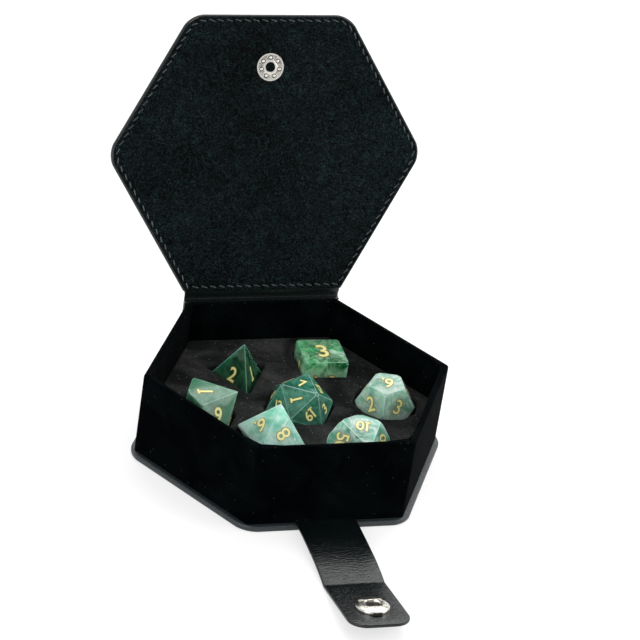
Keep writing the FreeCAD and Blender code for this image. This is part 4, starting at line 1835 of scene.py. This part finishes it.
DICE = (
    Die(
        "d20", Solid.ICOSAHEDRON, 13.9, (20.4, -35.9, -44.0), "teal_stone", "ground_clear_edge",
        4.3, "9. 19 6. 16 3/2 11 1/1 13/1 14 4 7/2 5 15 20 18 2 8 17/1 10 12",
    ),
    Die(
        "d12", Solid.DODECAHEDRON, 8.5, (66.3, 26.5, -3.7), "pale_stone", "ground_milky_edge", 5.6,
        "3/2 1 5 6./4 4 2/3 9. 8 11 7 12 10",
    ),
    Die(
        "d8", Solid.OCTAHEDRON, 19.2, (-124.0, -9.0, 176.5), "milky_stone", "ground_milky_edge",
        6.0, "2 3 4 1 8 5 6. 7",
    ),
    Die(
        "d10", Solid.TRAPEZOHEDRON, 12.5, (-102.0, -3.6, -50.4), "smoky_stone", "ground_clear_edge",
        5.8, "7 9/2/45 3 5 8 6. 0 2 4 1/3", 12.8,
    ),
    Die(
        "percentile", Solid.TRAPEZOHEDRON, 12.5, (138.3, -44.2, 141.6), "mixed_stone",
        "ground_milky_edge", 5.3, "10/1/-18 60 50/3 20 90/1 40 30 80 70 00", 12.8,
    ),
    Die(
        "d6", Solid.CUBE, 16.4, (-2.5, 0.0, 0.0), "emerald_stone", "ground_green_edge", 8.2,
        "1/0/135 2/0/135 4/0/135 3/2/45 5/0/135 6/0/135",
    ),
    Die(
        "d4", Solid.TETRAHEDRON, 21.8, (0.0, 0.0, 0.0), "forest_stone", "ground_clear_edge", 5.5,
        "3 1/2 2/1 4",
    ),
)


@dataclass
class DiceSet(Case):
    """The seven dice in their pockets: ground and tumbled stone with gilt numbers.

    Attributes:
        blunt: How far a corner reaches after tumbling, as a share of the farthest corner.
        ground: The width of the ground edges.
        paint: The gilt of a number.
        rim: The darker rim under it, painted shade round the number's edge.
        narrow: How much narrower the numbers are than the type.
        sheet: Half of a number's thickness, as a share of the type's size, like those below.
        gap: The gap between two figures, and after the foot of a 1.
        foot: The length and the height of the foot of a 1.
        foot_shift: How far the foot lies from the right edge and the bottom of the 1.
    """

    blunt: float = 0.962
    ground: float = 0.13 * MM
    paint: Ink = Ink("gilt_paint", 0.014, 0.03)
    rim: Ink = Ink("gilt_rim", 0.042, 0.004)
    narrow: float = 0.92
    sheet: float = 0.006
    gap: float = 0.06
    foot: Point = (0.30, 0.075)
    foot_shift: Point = (-0.05, -0.01)

    def build(self) -> None:
        """Grind each stone, ink its numbers and seat it."""
        for die in DICE:
            yaw, pitch, roll = (math.radians(turn) for turn in die.turns)
            spin = Matrix.Rotation(yaw, 3, "Z") @ Matrix.Rotation(pitch, 3, "Y")
            spin = spin @ Matrix.Rotation(roll, 3, "X")
            corners = [spin @ Vector(c) * MM for c in die.solid.corners(die.size, die.waist)]
            middle = die.middle()
            faces = flat_faces(corners)
            pieces = [self.grind(die, corners, faces, middle)]
            for face, numeral in zip(faces, die.numerals()):
                pieces.append(self.mark(die, face, numeral, middle))
            stone = join(pieces, "stone_" + die.name)
            smooth(stone, 20.0)
            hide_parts(die.node)
            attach(stone, die.node)
            LOG.info("%s rides on %s, %d faces", stone.name, die.node, len(stone.data.polygons))

    def grind(
        self, die: Die, corners: Sequence[Vector], faces: Sequence[Face], middle: Vector
    ) -> Piece:
        """Cut a block along each face and each blunted corner, then grind its edges.

        Args:
            die: The die.
            corners: The solid's corners round its middle.
            faces: Its faces.
            middle: Its middle.

        Returns:
            The stone.
        """
        farthest = max(c.length for c in corners)
        reach = self.blunt * farthest
        stone = add("cube", "blank_" + die.name, size=2.2 * farthest, location=middle)
        cuts = [(centre, normal) for normal, centre, _ in faces]
        cuts += [(c * (reach / c.length), c.normalized()) for c in corners if c.length > reach]
        for place, normal in cuts:
            with editing(stone, Pick.FACES):
                bpy.ops.mesh.bisect(
                    plane_co=middle + place, plane_no=normal, use_fill=True, clear_outer=True,
                    clear_inner=False, threshold=1e-7,
                )
        even_normals(stone)
        for finish in (die.stone, die.edge):
            stone.data.materials.append(self.finishes[finish])
        # The bevels take the paler edge finish, partly a painted highlight.
        soften_edges(stone, None, self.ground, 2, material=1)
        return stone

    def mark(self, die: Die, face: Face, numeral: Numeral, middle: Vector) -> Piece:
        """Model one gilt number just proud of its face, with a darker rim of painted shade round
        it.

        Args:
            die: The die.
            face: The face's normal, middle and corners.
            numeral: The number.
            middle: The die's middle.

        Returns:
            The number as a mesh in its place.
        """
        normal, centre, flat = face
        layers = [self.write(numeral.text, ink) for ink in (self.paint, self.rim)]
        xs, ys = ([v.co[axis] for v in layers[0].data.vertices] for axis in (0, 1))
        scale = die.height * MM / (max(ys) - min(ys))
        up = (flat[numeral.up] - centre).normalized()
        up = Matrix.Rotation(math.radians(numeral.twist), 3, normal) @ up
        turn = Matrix((up.cross(normal), up, normal)).transposed().to_4x4()
        centring = Matrix.Translation((-(max(xs) + min(xs)) / 2.0, -(max(ys) + min(ys)) / 2.0, 0.0))
        sizing = Matrix.Diagonal((scale * self.narrow, scale, scale, 1.0))
        for layer, ink in zip(layers, (self.paint, self.rim)):
            spot = Matrix.Translation(middle + centre + normal * ink.height * MM)
            apply_place(layer, spot @ turn @ sizing @ centring)
            self.coat(layer, ink.finish)
        return join(layers, f"mark_{die.name}")

    def write(self, text: str, ink: Ink) -> Piece:
        """Set a number in type, a figure at a time, with a foot under each 1.

        Args:
            text: The number.
            ink: The layer, which says how far the outline is swollen.

        Returns:
            The number as one flat mesh at the origin.
        """
        swell = ink.swell
        figures = []
        pen = 0.0
        for figure in text:
            put_down()
            bpy.ops.object.text_add()
            type_face = bpy.context.object.data
            type_face.body = figure
            type_face.resolution_u = 4
            type_face.extrude = self.sheet
            type_face.offset = swell
            bpy.ops.object.convert(target="MESH")
            glyph = christen("figure")
            figures.append(glyph)
            left = min(v.co.x for v in glyph.data.vertices) + swell
            right = max(v.co.x for v in glyph.data.vertices) - swell
            glyph.location.x = pen - left
            apply_place(glyph)
            pen += right - left
            if figure == "1":
                shift, drop = self.foot_shift
                serif = add(
                    "plane", "foot", (*(side + 2.0 * swell for side in self.foot), 1.0), size=1.0,
                    location=(pen + shift, drop, self.sheet),
                )
                with editing(serif, Pick.FACES):
                    extrude(0.0, 0.0, -2.0 * self.sheet)
                even_normals(serif)
                figures.append(serif)
                pen += self.gap
            pen += self.gap
        return join(figures, "number")


# --------------------------------------------------------------------------------------------
# The studio
# --------------------------------------------------------------------------------------------
@dataclass(frozen=True)
class Lamp:
    """A soft panel lamp.

    Attributes:
        name: The lamp's name.
        place: Where it hangs, in metres.
        aim: What it points at, in metres.
        size: The side of its panel.
        power: Its power in watts.
    """

    name: str
    place: Place
    aim: Place
    size: float
    power: float

    def hang(self) -> None:
        """Add the lamp."""
        put_down()
        bpy.ops.object.light_add(type="AREA", location=self.place)
        lamp = christen(self.name)
        lamp.data.shape = "SQUARE"
        lamp.data.size = self.size
        lamp.data.energy = self.power
        ray = Vector(self.aim) - Vector(self.place)
        lamp.rotation_euler = ray.to_track_quat("-Z", "Y").to_euler()


@dataclass
class Studio:
    """The floor, the light and the camera.

    Attributes:
        azimuth: The camera's bearing from the front, in degrees.
        elevation: Its height over the object, in degrees.
        roll: Its roll, in degrees.
        distance: From the camera to its target, in metres.
        target: What it looks at, in metres.
        sensor: Its sensor's width, in millimetres.
        lens: Its focal length, in millimetres.
        clip: The nearest and the farthest that it sees, in metres.
        bright_side: Which way the brighter part of the world lies.
        ambient: The strength of the light from the bright side.
        dim: The strength of the light from the other side.
        mirrored: The strength at which polished things mirror the studio.
        floor: The radius of the floor, in metres.
        lamps: The panel lamps.
    """

    azimuth: float = -20.92
    elevation: float = 29.81
    roll: float = 9.2
    distance: float = 1.12201
    target: Place = (0.00649, 0.00387, 0.05259)
    sensor: float = 36.0
    lens: float = 175.11
    clip: Point = (0.02, 20.0)
    bright_side: Place = (0.35, 0.55, 0.6)
    ambient: float = 0.95
    dim: float = 0.30
    mirrored: float = 0.75
    floor: float = 3.0
    lamps: tuple[Lamp, ...] = (
        Lamp("key_panel", (0.30, 0.72, 0.95), (0.0, 0.0, 0.0), 1.0, 8.5),
        Lamp("side_panel", (0.95, -0.35, 0.45), (0.0, 0.0, 0.03), 0.7, 4.2),
        Lamp("fill_panel", (-0.85, -0.70, 0.42), (0.0, 0.0, 0.02), 0.7, 4.8),
    )

    def build(self) -> None:
        """Lay the floor, hang the lamps and set the camera up."""
        floor = add("circle", "pale_floor", vertices=96, radius=self.floor, fill_type="NGON")
        floor.data.materials.append(FloorPaint("pale_floor_paint").material())
        self.light_world()
        for lamp in self.lamps:
            lamp.hang()
        self.set_camera()
        bpy.context.scene.view_settings.view_transform = "Standard"

    def light_world(self) -> None:
        """Light the scene softly from all round, white where it is seen."""
        world = bpy.data.worlds.new("soft_studio")
        bpy.context.scene.world = world
        world.use_nodes = True
        wiring = Wiring(world.node_tree)
        path = wiring.node("LightPath").outputs
        shown = wiring.maths("MAXIMUM", path["Is Camera Ray"], path["Is Transmission Ray"])
        mirrored = wiring.maths("MULTIPLY", path["Is Glossy Ray"], self.mirrored)
        ray = wiring.node("TexCoord").outputs["Generated"]
        bearing = wiring.vector("DOT_PRODUCT", ray, self.bright_side).outputs["Value"]
        around = wiring.remap(bearing, -0.6, 0.9, self.dim, self.ambient)
        strength = wiring.maths("MAXIMUM", wiring.maths("MAXIMUM", shown, mirrored), around)
        wiring.fill(world.node_tree.nodes["Background"], Color=(1.0, 1.0, 1.0), Strength=strength)

    def set_camera(self) -> None:
        """Add the camera and look along its bearing."""
        azimuth, elevation, roll = map(math.radians, (self.azimuth, self.elevation, self.roll))
        level = math.cos(elevation)
        back = Vector((math.sin(azimuth) * level, -math.cos(azimuth) * level, math.sin(elevation)))
        right = (-back).cross(Vector((0.0, 0.0, 1.0))).normalized()
        up = right.cross(-back)
        across = right * math.cos(roll) + up * math.sin(roll)
        upward = up * math.cos(roll) - right * math.sin(roll)
        put_down()
        bpy.ops.object.camera_add(location=Vector(self.target) + back * self.distance)
        camera = christen("front_camera")
        camera.rotation_euler = Matrix((across, upward, back)).transposed().to_euler()
        camera.data.sensor_width = self.sensor
        camera.data.lens = self.lens
        camera.data.clip_start, camera.data.clip_end = self.clip
        bpy.context.scene.camera = camera


def main() -> None:
    """Build the case, its dice and the studio, in order."""
    logging.basicConfig(level=logging.INFO, format="%(name)s: %(message)s")
    finishes = {finish.name: finish.material() for finish in FINISHES}
    for sub_assembly in (Base, Tray, Hinge, Lid, Strap, DiceSet):
        LOG.info("building %s", sub_assembly.__name__)
        sub_assembly(finishes).build()
    Studio().build()
    put_down()


if __name__ == "__main__":
    main()
